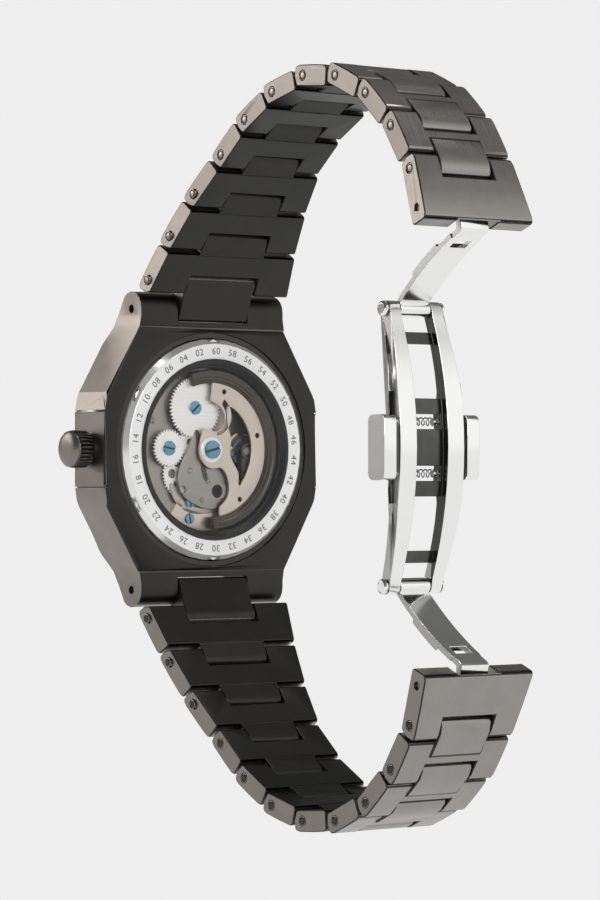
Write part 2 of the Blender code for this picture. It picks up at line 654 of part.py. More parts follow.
def make_spring(side):
    """Compression spring round a pair of plungers: a wire swept along a helix."""
    up = 1 if side == "upper" else -1
    turns, per_turn, section = 5, 8, 4
    steps = turns * per_turn
    bm = bmesh.new()
    rings = []
    for k in range(steps + 1):
        angle = 2 * math.pi * k / per_turn
        x = -2.2 + 4.4 * k / steps
        out = Vector((0, math.cos(angle), math.sin(angle)))
        ring = []
        for j in range(section):
            turn = 2 * math.pi * j / section
            spot = out * (0.58 + 0.11 * math.cos(turn)) + Vector((x + 0.11 * math.sin(turn), 0, 0))
            ring.append(bm.verts.new(spot + Vector((0, PLUNGER_Y, up * PLUNGER_Z))))
        rings.append(ring)
    for low, high in zip(rings, rings[1:]):
        for j in range(section):
            n = (j + 1) % section
            bm.faces.new((low[j], low[n], high[n], high[j]))
    bm.faces.new(rings[0])
    bm.faces.new(rings[-1])
    spring = to_object(f"{side}_button_spring", bm, "spring")
    spring.location = (0, PIVOT_Y * MM, 0)
    smooth(spring)


def make_clasp():
    make_clasp_frame()
    for side, up in (("upper", 1), ("lower", -1)):
        make_blade(side)
        make_spring(side)
        pin = turned(f"{side}_hinge_pin", [
            (0, -5.75), (0.8, -5.75), (1.15, -5.5), (1.15, -5.2), (0.65, -5.2), (0.65, 5.2), (1.15, 5.2),
            (1.15, 5.5), (0.8, 5.75), (0, 5.75)], "steel", "X", segments=16)
        pin.location = (0, PIVOT_Y * MM, up * PIVOT_Z * MM)
        smooth(pin)
    make_button("right")
    make_button("left")


def main():
    for old in list(bpy.data.objects):
        bpy.data.objects.remove(old)
    make_mid_case()
    make_front()
    make_hands()
    make_back()
    make_crown()
    make_movement()
    make_rotor()
    make_bracelet()
    make_clasp()


main()
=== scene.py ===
"""Finished surfaces of an automatic wristwatch on a link bracelet with an unfolded butterfly clasp.

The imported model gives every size. +X points to the crown, +Y out of the case back and +Z to twelve
o'clock, in metres. Sizes in the classes below are in millimetres and are scaled when a mesh is made.
"""
import json
import logging
import math
from dataclasses import dataclass, field
from enum import Enum

import bmesh
import bpy
import numpy as np
from mathutils import Matrix, Vector

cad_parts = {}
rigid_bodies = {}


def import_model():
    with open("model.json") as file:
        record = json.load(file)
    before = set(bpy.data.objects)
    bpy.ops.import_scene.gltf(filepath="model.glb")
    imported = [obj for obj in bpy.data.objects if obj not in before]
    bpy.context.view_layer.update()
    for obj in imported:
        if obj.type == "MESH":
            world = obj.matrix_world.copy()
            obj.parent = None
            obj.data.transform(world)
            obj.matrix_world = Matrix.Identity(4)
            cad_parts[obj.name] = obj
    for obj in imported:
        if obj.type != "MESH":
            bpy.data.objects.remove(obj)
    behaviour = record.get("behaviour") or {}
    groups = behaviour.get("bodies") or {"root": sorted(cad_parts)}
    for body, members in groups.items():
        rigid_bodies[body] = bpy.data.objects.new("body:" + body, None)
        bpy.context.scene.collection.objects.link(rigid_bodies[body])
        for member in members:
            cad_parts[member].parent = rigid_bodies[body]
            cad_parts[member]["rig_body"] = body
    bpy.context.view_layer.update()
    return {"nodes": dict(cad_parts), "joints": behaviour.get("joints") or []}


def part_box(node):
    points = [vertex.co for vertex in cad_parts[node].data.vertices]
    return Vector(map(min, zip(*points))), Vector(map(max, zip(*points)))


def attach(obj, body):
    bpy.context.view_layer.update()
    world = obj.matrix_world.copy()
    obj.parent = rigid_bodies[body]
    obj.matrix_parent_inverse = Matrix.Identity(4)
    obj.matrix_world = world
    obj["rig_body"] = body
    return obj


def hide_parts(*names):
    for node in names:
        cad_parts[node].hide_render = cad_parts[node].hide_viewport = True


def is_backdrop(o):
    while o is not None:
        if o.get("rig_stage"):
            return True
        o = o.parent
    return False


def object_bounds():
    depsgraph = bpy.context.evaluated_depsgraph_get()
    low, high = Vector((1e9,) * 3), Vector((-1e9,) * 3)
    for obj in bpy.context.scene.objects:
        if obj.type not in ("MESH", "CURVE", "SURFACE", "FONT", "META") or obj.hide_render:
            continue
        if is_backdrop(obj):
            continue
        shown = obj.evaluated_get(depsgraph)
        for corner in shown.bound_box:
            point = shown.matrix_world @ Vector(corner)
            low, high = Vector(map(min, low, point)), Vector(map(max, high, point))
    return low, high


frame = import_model()

LOG = logging.getLogger("wristwatch")
MM = 0.001
Colour = tuple[float, float, float]
Point2 = tuple[float, float]


class Axis(Enum):
    """The axis that a turned piece spins about."""

    CROWN = "x"
    WATCH = "y"


# --- finishes ---------------------------------------------------------------------------------
@dataclass(frozen=True)
class Metal:
    """A plated or bare metal: two close tones in soft clouds, and a grain in its gloss.

    The grain is noise read from the piece's "grain" attribute, which is already stretched along
    the direction of brushing or turning.
    """

    name: str
    colour: Colour
    tone: Colour
    roughness: float = 0.3
    spread: float = 0.1
    bump: float = 0.1
    cloud_scale: float = 260.0
    metallic: float = 1.0
    coat: float = 0.0

    def build(self) -> bpy.types.Material:
        """Makes the node material.

        Returns:
            The finished material.
        """
        made = bpy.data.materials.new(self.name)
        made.use_nodes = True
        nodes, links = made.node_tree.nodes, made.node_tree.links
        shader = nodes["Principled BSDF"]
        shader.inputs["Metallic"].default_value = self.metallic
        shader.inputs["Coat Weight"].default_value = self.coat
        shader.inputs["Coat Roughness"].default_value = 0.12
        place = nodes.new("ShaderNodeTexCoord")
        clouds = nodes.new("ShaderNodeTexNoise")
        clouds.inputs["Scale"].default_value = self.cloud_scale
        clouds.inputs["Detail"].default_value = 3.0
        links.new(place.outputs["Object"], clouds.inputs["Vector"])
        mix = nodes.new("ShaderNodeMix")
        mix.data_type = "RGBA"
        mix.inputs[6].default_value = (*self.colour, 1.0)
        mix.inputs[7].default_value = (*self.tone, 1.0)
        links.new(clouds.outputs["Fac"], mix.inputs[0])
        links.new(mix.outputs[2], shader.inputs["Base Color"])
        along = nodes.new("ShaderNodeAttribute")
        along.attribute_name = "grain"
        grain = nodes.new("ShaderNodeTexNoise")
        grain.inputs["Scale"].default_value = 1.0
        grain.inputs["Detail"].default_value = 4.0
        links.new(along.outputs["Vector"], grain.inputs["Vector"])
        gloss = nodes.new("ShaderNodeMapRange")
        gloss.inputs["To Min"].default_value = max(0.02, self.roughness - self.spread)
        gloss.inputs["To Max"].default_value = self.roughness + self.spread
        links.new(grain.outputs["Fac"], gloss.inputs["Value"])
        links.new(gloss.outputs["Result"], shader.inputs["Roughness"])
        bump = nodes.new("ShaderNodeBump")
        bump.inputs["Strength"].default_value = self.bump
        bump.inputs["Distance"].default_value = 0.00002
        links.new(grain.outputs["Fac"], bump.inputs["Height"])
        links.new(bump.outputs["Normal"], shader.inputs["Normal"])
        return made


@dataclass(frozen=True)
class Crystal:
    """Clear crystal: almost transparent, with the sharp gloss of its polished face."""

    name: str
    colour: Colour = (0.93, 0.95, 0.96)
    alpha: float = 0.015
    roughness: float = 0.02

    def build(self) -> bpy.types.Material:
        """Makes the node material.

        Returns:
            The finished material.
        """
        made = bpy.data.materials.new(self.name)
        made.use_nodes = True
        made.surface_render_method = "BLENDED"
        nodes, links = made.node_tree.nodes, made.node_tree.links
        shader = nodes["Principled BSDF"]
        shader.inputs["Base Color"].default_value = (*self.colour, 1.0)
        shader.inputs["Alpha"].default_value = self.alpha
        place = nodes.new("ShaderNodeTexCoord")
        film = nodes.new("ShaderNodeTexNoise")
        film.inputs["Scale"].default_value = 90.0
        links.new(place.outputs["Object"], film.inputs["Vector"])
        gloss = nodes.new("ShaderNodeMapRange")
        gloss.inputs["To Min"].default_value = self.roughness
        gloss.inputs["To Max"].default_value = self.roughness + 0.03
        links.new(film.outputs["Fac"], gloss.inputs["Value"])
        links.new(gloss.outputs["Result"], shader.inputs["Roughness"])
        return made


class Finish(Enum):
    """Every finish on the watch; some are darkened copies of one metal that carry painted shade."""

    # Painted shade: the wrist-facing faces of the links and the case back are the same gunmetal, darkened in colour
    # because they face away from the lights.
    INNER = Metal("inner_satin_painted_shade", (0.034, 0.033, 0.032), (0.046, 0.045, 0.043), 0.36, 0.08, 0.12, coat=0.12)
    FLANK = Metal("flank_brushed", (0.29, 0.262, 0.24), (0.225, 0.202, 0.184), 0.34, 0.12, 0.3)
    OUTER = Metal("outer_gunmetal", (0.36, 0.342, 0.325), (0.28, 0.265, 0.25), 0.3, 0.1, 0.16)
    # Painted shade: polished gunmetal in the case's recess, on the crown's grip and under the screw slits, darkened in
    # colour for the shade and dark reflection there.
    RECESS = Metal("recess_polished_painted_shade", (0.05, 0.048, 0.046), (0.07, 0.067, 0.064), 0.16, 0.05, 0.05)
    STEEL = Metal("clasp_polished", (0.93, 0.93, 0.925), (0.88, 0.88, 0.875), 0.14, 0.04, 0.04)
    STEEL_SHADE = Metal("clasp_shaded", (0.13, 0.13, 0.128), (0.06, 0.06, 0.059), 0.22, 0.08, 0.12)
    RING = Metal("back_ring_polished", (0.86, 0.86, 0.855), (0.8, 0.8, 0.795), 0.2, 0.05, 0.08, metallic=0.6)
    RING_FACE = Metal("back_ring_face", (0.86, 0.86, 0.86), (0.8, 0.8, 0.8), 0.42, 0.06, 0.1, metallic=0.45)
    ENGRAVED = Metal("engraving_dark", (0.17, 0.17, 0.17), (0.12, 0.12, 0.12), 0.5, 0.1, 0.1)
    # Black of the window seal and dial flange, also used as painted shade in the grooves round the pin ends and on the
    # lower half's pin heads.
    BLACK = Metal("black_parts_and_painted_shade", (0.008, 0.008, 0.008), (0.013, 0.013, 0.013), 0.45, 0.1, 0.1, metallic=0.0)
    PLATE = Metal("plate_frosted", (0.42, 0.385, 0.34), (0.5, 0.46, 0.41), 0.4, 0.1, 0.25)
    BRIDGE = Metal("bridge_frosted", (0.3, 0.28, 0.255), (0.36, 0.335, 0.305), 0.42, 0.1, 0.25)
    ROTOR = Metal("rotor_nickel", (0.62, 0.545, 0.475), (0.55, 0.48, 0.415), 0.36, 0.08, 0.12)
    RIM = Metal("rotor_rim", (0.1, 0.085, 0.068), (0.06, 0.05, 0.042), 0.34, 0.14, 0.5)
    WHEEL = Metal("wheel_steel", (0.86, 0.84, 0.81), (0.8, 0.78, 0.75), 0.36, 0.08, 0.1, metallic=0.55)
    BLUE = Metal("screw_blued", (0.16, 0.34, 0.46), (0.12, 0.27, 0.38), 0.26, 0.06, 0.08)
    JEWEL = Metal("jewel_synthetic", (0.2, 0.19, 0.17), (0.14, 0.15, 0.13), 0.12, 0.03, 0.02, metallic=0.1)
    BRASS = Metal("balance_brass", (0.55, 0.42, 0.24), (0.48, 0.36, 0.2), 0.22, 0.06, 0.08)
    POLYMER = Metal("holder_polymer", (0.02, 0.02, 0.02), (0.03, 0.03, 0.03), 0.5, 0.1, 0.15, metallic=0.0)
    RUBBER = Metal("seal_rubber", (0.015, 0.015, 0.015), (0.022, 0.022, 0.022), 0.7, 0.1, 0.2, metallic=0.0)
    DIAL = Metal("dial_lacquer", (0.012, 0.013, 0.016), (0.018, 0.02, 0.024), 0.3, 0.08, 0.2, metallic=0.2, coat=0.6)
    LUME = Metal("index_lume", (0.72, 0.76, 0.7), (0.66, 0.7, 0.64), 0.55, 0.1, 0.2, metallic=0.0)
    STEEL_FLANK = Metal("clasp_flank", (0.5, 0.5, 0.495), (0.42, 0.42, 0.415), 0.34, 0.06, 0.12)
    SPRING = Metal("spring_steel", (0.42, 0.42, 0.42), (0.34, 0.34, 0.34), 0.3, 0.1, 0.1)
    CRYSTAL = Crystal("crystal_clear")


class Paint:
    """Keeps one material for each finish, made when it is first asked for."""

    made: dict[Finish, bpy.types.Material] = {}

    @classmethod
    def of(cls, finish: Finish) -> bpy.types.Material:
        """Returns the material of a finish."""
        if finish not in cls.made:
            cls.made[finish] = finish.value.build()
        return cls.made[finish]


# --- mesh tools -------------------------------------------------------------------------------
def body_of_node(node: str) -> str:
    """Returns the name of the body that a CAD node belongs to."""
    return frame["nodes"][node]["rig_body"]


def set_grain(piece: bpy.types.Object, values: np.ndarray) -> None:
    """Stores the grain coordinates, one row for each vertex.

    Args:
        piece: the mesh piece.
        values: an array of shape (vertices, 3), in units of grain lines.
    """
    old = piece.data.attributes.get("grain")
    if old is not None:
        piece.data.attributes.remove(old)
    store = piece.data.attributes.new("grain", "FLOAT_VECTOR", "POINT")
    store.data.foreach_set("vector", np.asarray(values, dtype=np.float32).ravel())


def vertex_array(piece: bpy.types.Object) -> np.ndarray:
    """Returns the vertex places in millimetres, as rows of x, y and z."""
    places = np.zeros(len(piece.data.vertices) * 3, dtype=np.float32)
    piece.data.vertices.foreach_get("co", places)
    return places.reshape(-1, 3).astype(float) / MM


def straight_grain(piece: bpy.types.Object, basis: np.ndarray, fine: float = 0.09, long: float = 5.0) -> None:
    """Grain that runs along the third row of a basis: each coordinate over its own line length.

    Args:
        piece: the mesh piece.
        basis: three rows, of which the last is the direction of brushing.
        fine: the width of a line in millimetres.
        long: the length of a line in millimetres.
    """
    local = vertex_array(piece) @ np.asarray(basis).T
    set_grain(piece, local / np.array([fine, fine, long]))


def turned_grain(piece: bpy.types.Object, centre: np.ndarray, axis: Axis, fine: float = 0.12) -> None:
    """Grain in circles about an axis: the distance from the axis is fine, the angle is slow.

    Args:
        piece: the mesh piece.
        centre: a point on the axis, in millimetres.
        axis: the axis that it was turned about.
        fine: the width of a line in millimetres.
    """
    local = vertex_array(piece) - np.asarray(centre)
    keep = (0, 2) if axis is Axis.WATCH else (1, 2)
    flat = local[:, keep]
    radius = np.linalg.norm(flat, axis=1)
    depth = local[:, 1 if axis is Axis.WATCH else 0]
    slow = flat[:, 0] / (radius + 1e-6)
    set_grain(piece, np.stack([radius / fine, depth / fine, slow * 2.0], axis=1))


def new_piece(name: str, places: np.ndarray, faces: list, finishes: list[Finish],
              index: np.ndarray | None = None) -> bpy.types.Object:
    """Makes a mesh piece from points in millimetres.

    Args:
        name: the piece's name.
        places: an array of shape (vertices, 3).
        faces: vertex numbers of each face.
        finishes: the materials, in slot order.
        index: the material slot of each face, or None for the first.

    Returns:
        The piece, linked to the scene.
    """
    mesh = bpy.data.meshes.new(name)
    mesh.from_pydata((np.asarray(places) * MM).tolist(), [], [list(map(int, f)) for f in faces])
    for finish in finishes:
        mesh.materials.append(Paint.of(finish))
    if index is not None:
        mesh.polygons.foreach_set("material_index", np.asarray(index, dtype=np.int32))
    mesh.validate()
    made = bpy.data.objects.new(name, mesh)
    bpy.context.scene.collection.objects.link(made)
    soften(made)
    return made


def soften(piece: bpy.types.Object, angle: float = 30.0) -> None:
    """Shades a piece smooth, with edges sharper than the angle in degrees kept sharp."""
    piece.data.shade_smooth()
    piece.data.set_sharp_from_angle(angle=math.radians(angle))


def round_edges(piece: bpy.types.Object, width: float, angle: float = 28.0, finish: int = -1) -> None:
    """Gives a piece's edges a small round.

    Args:
        piece: the mesh piece.
        width: the round's width in millimetres.
        angle: edges sharper than this are rounded, in degrees.
        finish: the material slot of the round, or -1 for its neighbour's.
    """
    step = piece.modifiers.new("edge", "BEVEL")
    step.width = width * MM
    step.segments = 2
    step.material = finish
    step.limit_method = "ANGLE"
    step.angle_limit = math.radians(angle)
    step.use_clamp_overlap = False
    step.harden_normals = True


def turned_mesh(profile: list[Point2], segments: int) -> tuple[np.ndarray, list, np.ndarray]:
    """A profile of (radius, height) carried round an axis, as (radius cos, height, radius sin).

    Args:
        profile: closed outline; a radius of zero makes a pole.
        segments: steps round the axis.

    Returns:
        Points, faces and the profile step of each face.
    """
    rows = np.array(profile, dtype=float)
    turn = np.linspace(0, 2 * np.pi, segments, endpoint=False)
    grid = np.stack([rows[:, None, 0] * np.cos(turn), np.repeat(rows[:, 1:2], segments, 1),
                     rows[:, None, 0] * np.sin(turn)], axis=2)
    i, j = np.meshgrid(np.arange(len(rows) - 1), np.arange(segments), indexing="ij")
    after = (j + 1) % segments
    faces = np.stack([i * segments + j, i * segments + after, (i + 1) * segments + after,
                      (i + 1) * segments + j], axis=2).reshape(-1, 4)
    return grid.reshape(-1, 3), faces.tolist(), i.ravel()


def merge(piece: bpy.types.Object) -> None:
    """Merges doubled points, drops flat faces and turns the faces outwards."""
    work = bmesh.new()
    work.from_mesh(piece.data)
    bmesh.ops.remove_doubles(work, verts=work.verts, dist=1e-7)
    bmesh.ops.dissolve_degenerate(work, edges=work.edges, dist=1e-8)
    bmesh.ops.recalc_face_normals(work, faces=work.faces)
    work.to_mesh(piece.data)
    work.free()


def turned_piece(name: str, profile: list[Point2], centre: tuple[float, float, float], axis: Axis,
                 finishes: list[Finish], bands: list[int] | None = None, segments: int = 64) -> bpy.types.Object:
    """A turned piece about an axis through centre.

    Args:
        name: the piece's name.
        profile: (radius, height) pairs from one end of the outline to the other.
        centre: the point that height zero stands on.
        axis: CROWN or WATCH.
        finishes: the materials.
        bands: the material of each profile step.
        segments: steps round the axis.

    Returns:
        The finished piece.
    """
    places, faces, step = turned_mesh(profile, segments)
    if axis is Axis.CROWN:
        places = places[:, [1, 0, 2]]
    index = np.array(bands)[step] if bands else None
    made = new_piece(name, places + np.array(centre), faces, finishes, index)
    merge(made)
    soften(made)
    turned_grain(made, np.array(centre), axis)
    return made


def plate_piece(name: str, loops: list[np.ndarray], low: float, high: float, finish: Finish,
                edge: float = 0.05, grain: float = 0.0) -> bpy.types.Object:
    """A flat plate with holes: closed loops in X and Z, filled and raised from low to high in Y.

    Args:
        name: the piece's name.
        loops: arrays of (x, z) points; a loop inside another is a hole.
        low: lower face, Y in millimetres.
        high: upper face, Y in millimetres.
        finish: its finish.
        edge: the round of its rims.
        grain: direction of its brushing in the plate, in degrees.

    Returns:
        The finished piece.
    """
    outline = bpy.data.curves.new(name, "CURVE")
    outline.dimensions = "2D"
    outline.fill_mode = "BOTH"
    outline.extrude = (high - low) / 2 - edge
    outline.bevel_depth = edge
    outline.bevel_resolution = 1
    outline.offset = -edge
    for loop in loops:
        spline = outline.splines.new("POLY")
        spline.points.add(len(loop) - 1)
        rows = np.column_stack([loop, np.zeros(len(loop)), np.ones(len(loop))])
        spline.points.foreach_set("co", rows.astype(np.float32).ravel())
        spline.use_cyclic_u = True
    holder = bpy.data.objects.new(name, outline)
    bpy.context.scene.collection.objects.link(holder)
    graph = bpy.context.evaluated_depsgraph_get()
    mesh = bpy.data.meshes.new_from_object(holder.evaluated_get(graph))
    bpy.data.objects.remove(holder)
    bpy.data.curves.remove(outline)
    mesh.name = name
    turn = Matrix.Rotation(math.pi / 2, 4, "X")
    mesh.transform(Matrix.Scale(MM, 4) @ Matrix.Translation((0, (low + high) / 2, 0)) @ turn)
    mesh.materials.clear()
    mesh.materials.append(Paint.of(finish))
    made = bpy.data.objects.new(name, mesh)
    bpy.context.scene.collection.objects.link(made)
    merge(made)
    soften(made)
    way = math.radians(grain)
    basis = np.array([[-math.sin(way), 0, math.cos(way)], [0, 1, 0], [math.cos(way), 0, math.sin(way)]])
    straight_grain(made, basis, 0.14, 3.0)
    return made


def circle(x: float, z: float, radius: float, steps: int = 36) -> np.ndarray:
    """Returns a closed round loop about (x, z)."""
    turn = np.linspace(0, 2 * np.pi, steps, endpoint=False)
    return np.column_stack([x + radius * np.cos(turn), z + radius * np.sin(turn)])


def arc(x: float, z: float, radius: float, start: float, end: float, steps: int = 24) -> np.ndarray:
    """Returns points along an arc about (x, z), from start to end in degrees."""
    turn = np.radians(np.linspace(start, end, steps))
    return np.column_stack([x + radius * np.cos(turn), z + radius * np.sin(turn)])


def gear(x: float, z: float, tip: float, depth: float, teeth: int, phase: float = 0.0) -> np.ndarray:
    """A toothed loop: the radius is the tip less the depth times a clipped wave of the angle.

    Args:
        x: the wheel's centre.
        z: the wheel's centre.
        tip: the radius over the teeth.
        depth: the depth of a tooth.
        teeth: how many teeth.
        phase: the turn of the first tooth, in radians.

    Returns:
        The closed loop, one row for each point.
    """
    turn = np.linspace(0, 2 * np.pi, teeth * 6, endpoint=False)
    wave = np.clip(0.5 - 0.9 * np.cos(teeth * turn), 0.0, 1.0)
    radius = tip - depth * wave
    return np.column_stack([x + radius * np.cos(turn + phase), z + radius * np.sin(turn + phase)])


def smooth_loop(points: list[Point2], steps: int = 6) -> np.ndarray:
    """A closed curve through points: each stretch is a cubic blend of its four neighbours.

    Args:
        points: the (x, z) points in order.
        steps: points made for each stretch.

    Returns:
        The closed loop, one row for each point.
    """
    base = np.array(points, dtype=float)
    before, after, far = np.roll(base, 1, 0), np.roll(base, -1, 0), np.roll(base, -2, 0)
    t = np.linspace(0, 1, steps, endpoint=False)[None, :, None]
    p0, p1, p2, p3 = (a[:, None, :] for a in (before, base, after, far))
    curve = 0.5 * (2 * p1 + (p2 - p0) * t + (2 * p0 - 5 * p1 + 4 * p2 - p3) * t ** 2
                   + (3 * p1 - p0 - 3 * p2 + p3) * t ** 3)
    return curve.reshape(-1, 2)


def mounted(piece: bpy.types.Object, body: str, slot: str, *nodes: str) -> bpy.types.Object:
    """Rides a piece on its body and hides the CAD nodes it stands for.

    Args:
        piece: the finished piece.
        body: the body that it moves with.
        slot: not used.
        nodes: the CAD nodes that it replaces.

    Returns:
        The same piece.
    """
    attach(piece, body)
    if nodes:
        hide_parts(*nodes)
    LOG.info("piece %s on %s", piece.name, body)
    return piece


def merged_copy(node: str, name: str) -> bpy.types.Object:
    """A copy of a CAD node's mesh with its doubled points merged and its flat faces joined up.

    Args:
        node: the CAD node.
        name: the copy's name.

    Returns:
        The copy, linked to the scene, with no materials.
    """
    made = bpy.data.objects.new(name, frame["nodes"][node].data.copy())
    bpy.context.scene.collection.objects.link(made)
    made.data.name = name
    work = bmesh.new()
    work.from_mesh(made.data)
    bmesh.ops.remove_doubles(work, verts=work.verts, dist=2e-6)
    bmesh.ops.dissolve_limit(work, angle_limit=math.radians(0.6), verts=work.verts, edges=work.edges)
    bmesh.ops.recalc_face_normals(work, faces=work.faces)
    work.to_mesh(made.data)
    work.free()
    made.data.materials.clear()
    return made


def face_normals(piece: bpy.types.Object) -> np.ndarray:
    """Returns the face normals as rows."""
    values = np.zeros(len(piece.data.polygons) * 3, dtype=np.float32)
    piece.data.polygons.foreach_get("normal", values)
    return values.reshape(-1, 3).astype(float)


def face_centres(piece: bpy.types.Object) -> np.ndarray:
    """Returns the face centres in millimetres as rows."""
    values = np.zeros(len(piece.data.polygons) * 3, dtype=np.float32)
    piece.data.polygons.foreach_get("center", values)
    return values.reshape(-1, 3).astype(float) / MM


def face_reach(piece: bpy.types.Object) -> np.ndarray:
    """Returns how far each face's furthest corner is from the watch axis, in millimetres."""
    radius = np.hypot(*vertex_array(piece)[:, [0, 2]].T)
    return np.array([radius[list(face.vertices)].max() for face in piece.data.polygons])


def dress(node: str, finishes: list[Finish], slot: str, index: np.ndarray | None = None, width: float = 0.1,
          piece: bpy.types.Object | None = None, edge_finish: int = -1) -> bpy.types.Object:
    """Finishes a copy of a CAD node and places it on the node's body.

    Args:
        node: the CAD node that the copy stands for.
        finishes: the materials.
        slot: not used; it is passed on to mounted, which does not read it.
        index: the material of each face, or None for the first.
        width: the round of its edges in millimetres, or zero for none.
        piece: the copy, or None to make one.
        edge_finish: the material of the rounds, or -1 for the neighbour's.

    Returns:
        The finished piece.
    """
    made = piece or merged_copy(node, node + "_finished")
    for finish in finishes:
        made.data.materials.append(Paint.of(finish))
    chosen = np.zeros(len(made.data.polygons), np.int32) if index is None else np.asarray(index, np.int32)
    made.data.polygons.foreach_set("material_index", chosen)
    soften(made)
    if width:
        round_edges(made, width, finish=edge_finish)
    return mounted(made, body_of_node(node), slot, node)


# --- bracelet ---------------------------------------------------------------------------------
@dataclass
class Bracelet:
    """Both halves of the bracelet: end link, ten links and clasp link, with the ends of their pins."""

    pin_head: float = 0.62
    chamfer: float = 0.17
    links: int = 10

    def pins(self, side: str) -> list[np.ndarray]:
        """Returns the pin places of one half, from the lug to the clasp bar, in millimetres."""
        spots = {j["name"]: np.array(j["pos_m"]) / MM for j in frame["joints"] if "pos_m" in j}
        names = [f"{side}_lug_hinge"] + [f"{side}_hinge_{i:02d}" for i in range(1, self.links + 2)]
        bar = spots["upper_bar_hinge"] * np.array([1, 1, 1 if side == "upper" else -1])
        return [spots[n] for n in names] + [bar]

    def basis(self, start: np.ndarray, end: np.ndarray, side: str) -> np.ndarray:
        """The link's own frame, whose second row is the cross of the other two.

        Args:
            start: the link's own pin.
            end: the next pin.
            side: upper or lower.

        Returns:
            Rows across, inwards to the wrist, and along the chain.
        """
        along = (end - start) / np.linalg.norm(end - start)
        across = np.array([1.0, 0.0, 0.0])
        inwards = np.cross(along, across) * (1 if side == "upper" else -1)
        return np.array([across, inwards, along])

    def link(self, node: str, start: np.ndarray, end: np.ndarray, side: str) -> None:
        """Finishes one link: satin inside darkened with painted shade, brushed flanks, polished gunmetal outside.

        Args:
            node: the link's CAD node.
            start: its own pin.
            end: the next pin.
            side: upper or lower.
        """
        rows = self.basis(start, end, side)
        made = merged_copy(node, node + "_finished")
        facing = face_normals(made) @ rows.T
        # Faces turned to the wrist get the inner finish, whose dark colour is painted shade.
        index = np.where(np.abs(facing[:, 0]) > 0.7, 1, np.where(facing[:, 1] > 0.55, 0, 2))
        straight_grain(made, rows, 0.1, 6.0)
        # The rounded edges take the dark inner finish too, as painted shade between the links.
        dress(node, [Finish.INNER, Finish.FLANK, Finish.OUTER], "link_metal", index, self.chamfer, made, 0)

    def pin_ends(self, node: str, spot: np.ndarray, half: float, side: str) -> None:
        """Round pin ends in both flanks: a ring groove about a slightly domed head, the groove black as painted shade.

        Args:
            node: the link's CAD node.
            spot: its pin's place.
            half: half the link's width there.
            side: upper or lower; the lower half's heads are painted black as shade in the pin holes.
        """
        r = self.pin_head
        profile = [(0, 0.05), (r * 0.45, 0.045), (r * 0.72, 0.02), (r * 0.76, -0.1), (r * 0.95, -0.1),
                   (r, 0.03), (r * 1.12, 0.012), (r * 1.12, -0.15), (0, -0.15)]
        # Painted shade: the groove, and the whole head on the lower half, take the black finish for the shade in the
        # pin holes.
        head = 0 if side == "upper" else 1
        bands = [head, head, 1, 1, 1, 0, 0, 0]
        places, faces, step = turned_mesh(profile, 20)
        right = places[:, [1, 0, 2]] + np.array([half, 0, 0]) + spot
        left = (places * np.array([1, -1, 1]))[:, [1, 0, 2]] - np.array([half, 0, 0]) + spot
        count = len(places)
        both = faces + [[v + count for v in f] for f in faces]
        index = np.tile(np.array(bands)[step], 2)
        name = node + "_pin_ends"
        made = new_piece(name, np.vstack([right, left]), both, [Finish.OUTER, Finish.BLACK], index)
        merge(made)
        soften(made)
        turned_grain(made, spot, Axis.CROWN, 0.2)
        mounted(made, body_of_node(node), "link_metal")

    def build(self) -> None:
        """Builds both halves."""
        for side in ("upper", "lower"):
            spots = self.pins(side)
            names = ([f"{side}_end_link"] + [f"{side}_link_{i:02d}" for i in range(1, self.links + 1)]
                     + [f"{side}_clasp_link"])
            for k, node in enumerate(names):
                self.link(node, spots[k], spots[k + 1], side)
                if k:
                    half = self.half_width(node, spots[k])
                    self.pin_ends(node, spots[k], half, side)
            for node, finish in ((f"{side}_clasp_bar", Finish.STEEL), (f"{side}_case_pin", Finish.OUTER)):
                made = dress(node, [finish], "polished_steel", width=0.0)
                straight_grain(made, np.eye(3)[[1, 2, 0]], 0.1, 4.0)

    def half_width(self, node: str, spot: np.ndarray) -> float:
        """Half the link's width at its own pin, from the points near the pin.

        Args:
            node: the link's CAD node.
            spot: its pin's place.

        Returns:
            The half width in millimetres, less a hair so that the pin end stands proud.
        """
        mesh = frame["nodes"][node].data
        places = np.zeros(len(mesh.vertices) * 3, np.float32)
        mesh.vertices.foreach_get("co", places)
        places = places.reshape(-1, 3) / MM
        near = np.linalg.norm((places - spot)[:, 1:], axis=1)
        band = places[(near > 0.8) & (near < 2.4)]
        return float(np.abs(band[:, 0]).max()) - 0.02


